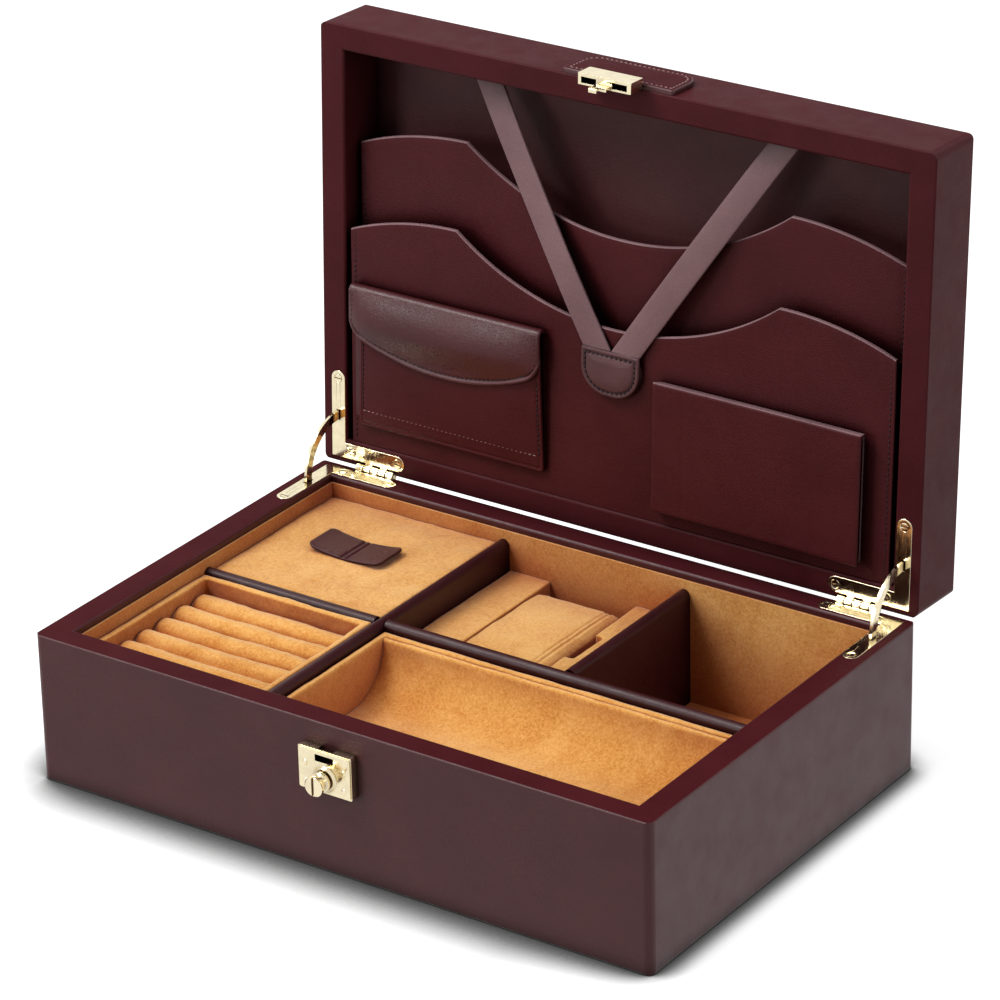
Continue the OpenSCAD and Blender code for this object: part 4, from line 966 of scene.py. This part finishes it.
hasp_lo, hasp_hi = lid_box("hasp_tab")
HASP = LID @ Matrix(((1, 0, 0, 0), (0, 0, 1, hasp_lo.y * MM), (0, -1, 0, 0), (0, 0, 0, 1)))
hasp_t = hasp_hi.y - hasp_lo.y
hasp_outline = rounded_outline((hasp_lo.x, -hasp_hi.z), (hasp_hi.x, -hasp_lo.z), (1.2, 1.2, 9.0, 9.0), 10, 16)


def hasp_front(x, u, d):
    return hasp_t - 0.1 + 0.15 * wobble(x, u, 0, 12, 15) - round_over(d, 0.9) - seam(d, 2.3, 0.5, 0.3)


def hasp_back(x, u, d):
    return hasp_t - 1.3 if d > 3 else 0.02


verts, faces = patch(hasp_outline, SEAM_INSETS, 8, hasp_front, hasp_back)
hasp = make("hasp_tab_leather", verts, faces, "lid", "leather", HASP)
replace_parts(hasp, "hasp_tab")
ring = [(p.x, p.y, hasp_t - 0.3) for p in closed(hasp_outline(2.3))]
stitching("hasp_tab_stitches", [ring], (0, 0, 1), "lid", "leather", HASP, thread_light, 2.3, 1.6, 0.28)

# Pull tab on the cover: two wings that rise from a sewn crease

pull_lo, pull_hi = box_mm("cover_tab")
pull_mid = (pull_lo.x + pull_hi.x) / 2
pull_half = (pull_hi.x - pull_lo.x) / 2
PULL_T, PULL_CREASE, PULL_CORNER = 1.3, 1.3, 3.0
pull_rise = pull_hi.z - pull_lo.z - PULL_T


def pull_height(x):
    s = (x - pull_mid) / pull_half
    wing = pull_rise * (0.35 * abs(s) + 0.65 * abs(s) ** 2.4)
    return pull_lo.z + wing - 0.12 * pull_rise * max(0, s)


def pull_front(x, d):
    band = abs(x - pull_mid) - PULL_CREASE
    crease = 0.45 * math.exp(-((band / 0.4) ** 2))
    return pull_height(x) + PULL_T - crease - round_over(d, 0.5)


def pull_back(x, d):
    return pull_height(x) + round_over(d, 0.4)


crease_xs = [pull_mid + s * (PULL_CREASE + k * 0.3) for s in (-1, 1) for k in (-1, 0, 1)]
xs = sorted(spread(pull_lo.x, pull_hi.x, 44, 0.5) + crease_xs)
rows_front, rows_back = [], []
mid_y = (pull_lo.y + pull_hi.y) / 2
half_y = (pull_hi.y - pull_lo.y) / 2
for q in spread(-1, 1, 18, 0.05):
    row, rear_row = [], []
    for x in xs:
        x_edge = min(x - pull_lo.x, pull_hi.x - x)
        reach = half_y - round_over(x_edge, PULL_CORNER)
        y = mid_y + q * reach
        d = min(x_edge, reach * (1 - abs(q)))
        row.append((x, y, pull_front(x, d)))
        rear_row.append((x, y, pull_back(x, d)))
    rows_front.append(row)
    rows_back.append(rear_row)
verts, faces = slab(rows_front, rows_back)
pull = make("cover_tab_leather", verts, faces, "cover", "dark_leather", None, pull_leather)
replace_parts(pull, "cover_tab")
sewn_x = pull_mid - PULL_CREASE
sewn_z = pull_height(sewn_x) + PULL_T - 0.35
sewn = [(sewn_x, mid_y + half_y * (k / 10 - 1) * 0.92, sewn_z) for k in range(21)]
stitching("cover_tab_stitches", [sewn], (0, 0, 1), "cover", "dark_leather", None, thread_dark, 1.7, 1.2, 0.2)

# Camera, at the photograph's angle

TARGET = Vector((14.305, 0, 129.07)) * MM
AZIMUTH, ELEVATION, ROLL = (math.radians(a) for a in (34.945, 25.247, -1.291))
DISTANCE = 1942.996 * MM
out = Vector((math.sin(AZIMUTH) * math.cos(ELEVATION), -math.cos(AZIMUTH) * math.cos(ELEVATION),
              math.sin(ELEVATION)))
right = Vector((math.cos(AZIMUTH), math.sin(AZIMUTH), 0))
up = out.cross(right)
right, up = (right * math.cos(ROLL) + up * math.sin(ROLL), up * math.cos(ROLL) - right * math.sin(ROLL))
place = TARGET + out * DISTANCE
camera = bpy.data.objects.new("camera", bpy.data.cameras.new("camera"))
camera.data.lens = 172.97
camera.data.sensor_width = 36
camera.data.clip_end = 20
camera.matrix_world = Matrix(((right.x, up.x, out.x, place.x), (right.y, up.y, out.y, place.y),
                              (right.z, up.z, out.z, place.z), (0, 0, 0, 1)))
scene.collection.objects.link(camera)
scene.camera = camera


def seen_direct(tree):
    """1 for rays from the camera or through glass, and the flag for rays off gloss."""
    path = tree.nodes.new("ShaderNodeLightPath").outputs
    plain = math_node(tree, "MAXIMUM", path["Is Camera Ray"], path["Is Transmission Ray"])
    return plain, path["Is Glossy Ray"]


def area_light(name, at, size, energy, aim=(0, 0, 0.08)):
    lamp = bpy.data.lights.new(name, "AREA")
    lamp.shape = "RECTANGLE"
    lamp.size, lamp.size_y = size
    lamp.energy = energy
    obj = bpy.data.objects.new(name, lamp)
    obj.location = at
    obj.rotation_euler = (Vector(aim) - Vector(at)).to_track_quat("-Z", "Y").to_euler()
    scene.collection.objects.link(obj)


area_light("key", (-0.9, -0.65, 1.65), (0.8, 0.8), 32)
area_light("top", (-0.1, 0.2, 1.9), (0.8, 0.8), 10)
area_light("front", (-1.0, -1.6, 0.65), (0.5, 0.6), 10)
area_light("back", (0.35, 1.6, 1.2), (0.9, 0.4), 1.5)
area_light("side", (1.7, 0.25, 0.8), (0.9, 0.9), 13)

DIM = 0.22
world = bpy.data.worlds.new("studio")
world.use_nodes = True
scene.world = world
tree = world.node_tree
sky = tree.nodes["Background"]
sky.inputs["Color"].default_value = (1, 1, 1, 1)
direct, glossy = seen_direct(tree)
strength = mix(tree, "MIX", math_node(tree, "MAXIMUM", direct, glossy), grey(DIM), grey(1))
tree.links.new(strength, sky.inputs["Strength"])

FLOOR, FLOOR_DROP = 30.0, 0.0002
FLOOR_COLOR, FLOOR_LIFT = 0.45, 0.78
SHADOW_REACH = (("From Min", 0.09), ("From Max", 0.16), ("To Min", 0.036), ("To Max", 0.014))
floor_mesh = bpy.data.meshes.new("floor")
floor_mesh.from_pydata([(-FLOOR, -FLOOR, 0), (FLOOR, -FLOOR, 0), (FLOOR, FLOOR, 0), (-FLOOR, FLOOR, 0)], [],
                       [(0, 1, 2, 3)])
floor = bpy.data.objects.new("floor", floor_mesh)
floor.location.z = -FLOOR_DROP
scene.collection.objects.link(floor)
floor_mat = bpy.data.materials.new("floor")
floor_mat.use_nodes = True
tree = floor_mat.node_tree
tree.nodes.clear()
direct, glossy = seen_direct(tree)
# Painted contact shadow: for camera rays the floor darkens by how closed in it is near the box, reaching less far
# on the right, on top of the lamps' own shadows.
contact = tree.nodes.new("ShaderNodeAmbientOcclusion")
contact.samples = 16
apart = tree.nodes.new("ShaderNodeSeparateXYZ")
tree.links.new(tree.nodes.new("ShaderNodeTexCoord").outputs["Object"], apart.inputs[0])
reach = tree.nodes.new("ShaderNodeMapRange")
for socket, value in SHADOW_REACH:
    reach.inputs[socket].default_value = value
tree.links.new(apart.outputs["X"], reach.inputs["Value"])
tree.links.new(reach.outputs["Result"], contact.inputs["Distance"])
shade = ramp(tree, contact.outputs["AO"], ((0.45, grey(0.02)), (0.62, grey(0.16)), (0.95, grey(1))))
shade = mix(tree, "MIX", direct, grey(1), shade)
white = tree.nodes.new("ShaderNodeBsdfDiffuse")
tree.links.new(mix(tree, "MULTIPLY", 1.0, shade, grey(FLOOR_COLOR)), white.inputs["Color"])
lift = tree.nodes.new("ShaderNodeEmission")
tree.links.new(mix(tree, "MULTIPLY", 1.0, shade, direct), lift.inputs["Color"])
lift.inputs["Strength"].default_value = FLOOR_LIFT
matt = tree.nodes.new("ShaderNodeAddShader")
tree.links.new(white.outputs[0], matt.inputs[0])
tree.links.new(lift.outputs[0], matt.inputs[1])
card = tree.nodes.new("ShaderNodeEmission")
ground = tree.nodes.new("ShaderNodeMixShader")
tree.links.new(glossy, ground.inputs[0])
tree.links.new(matt.outputs[0], ground.inputs[1])
tree.links.new(card.outputs[0], ground.inputs[2])
tree.links.new(ground.outputs[0], tree.nodes.new("ShaderNodeOutputMaterial").inputs["Surface"])
floor_mesh.materials.append(floor_mat)
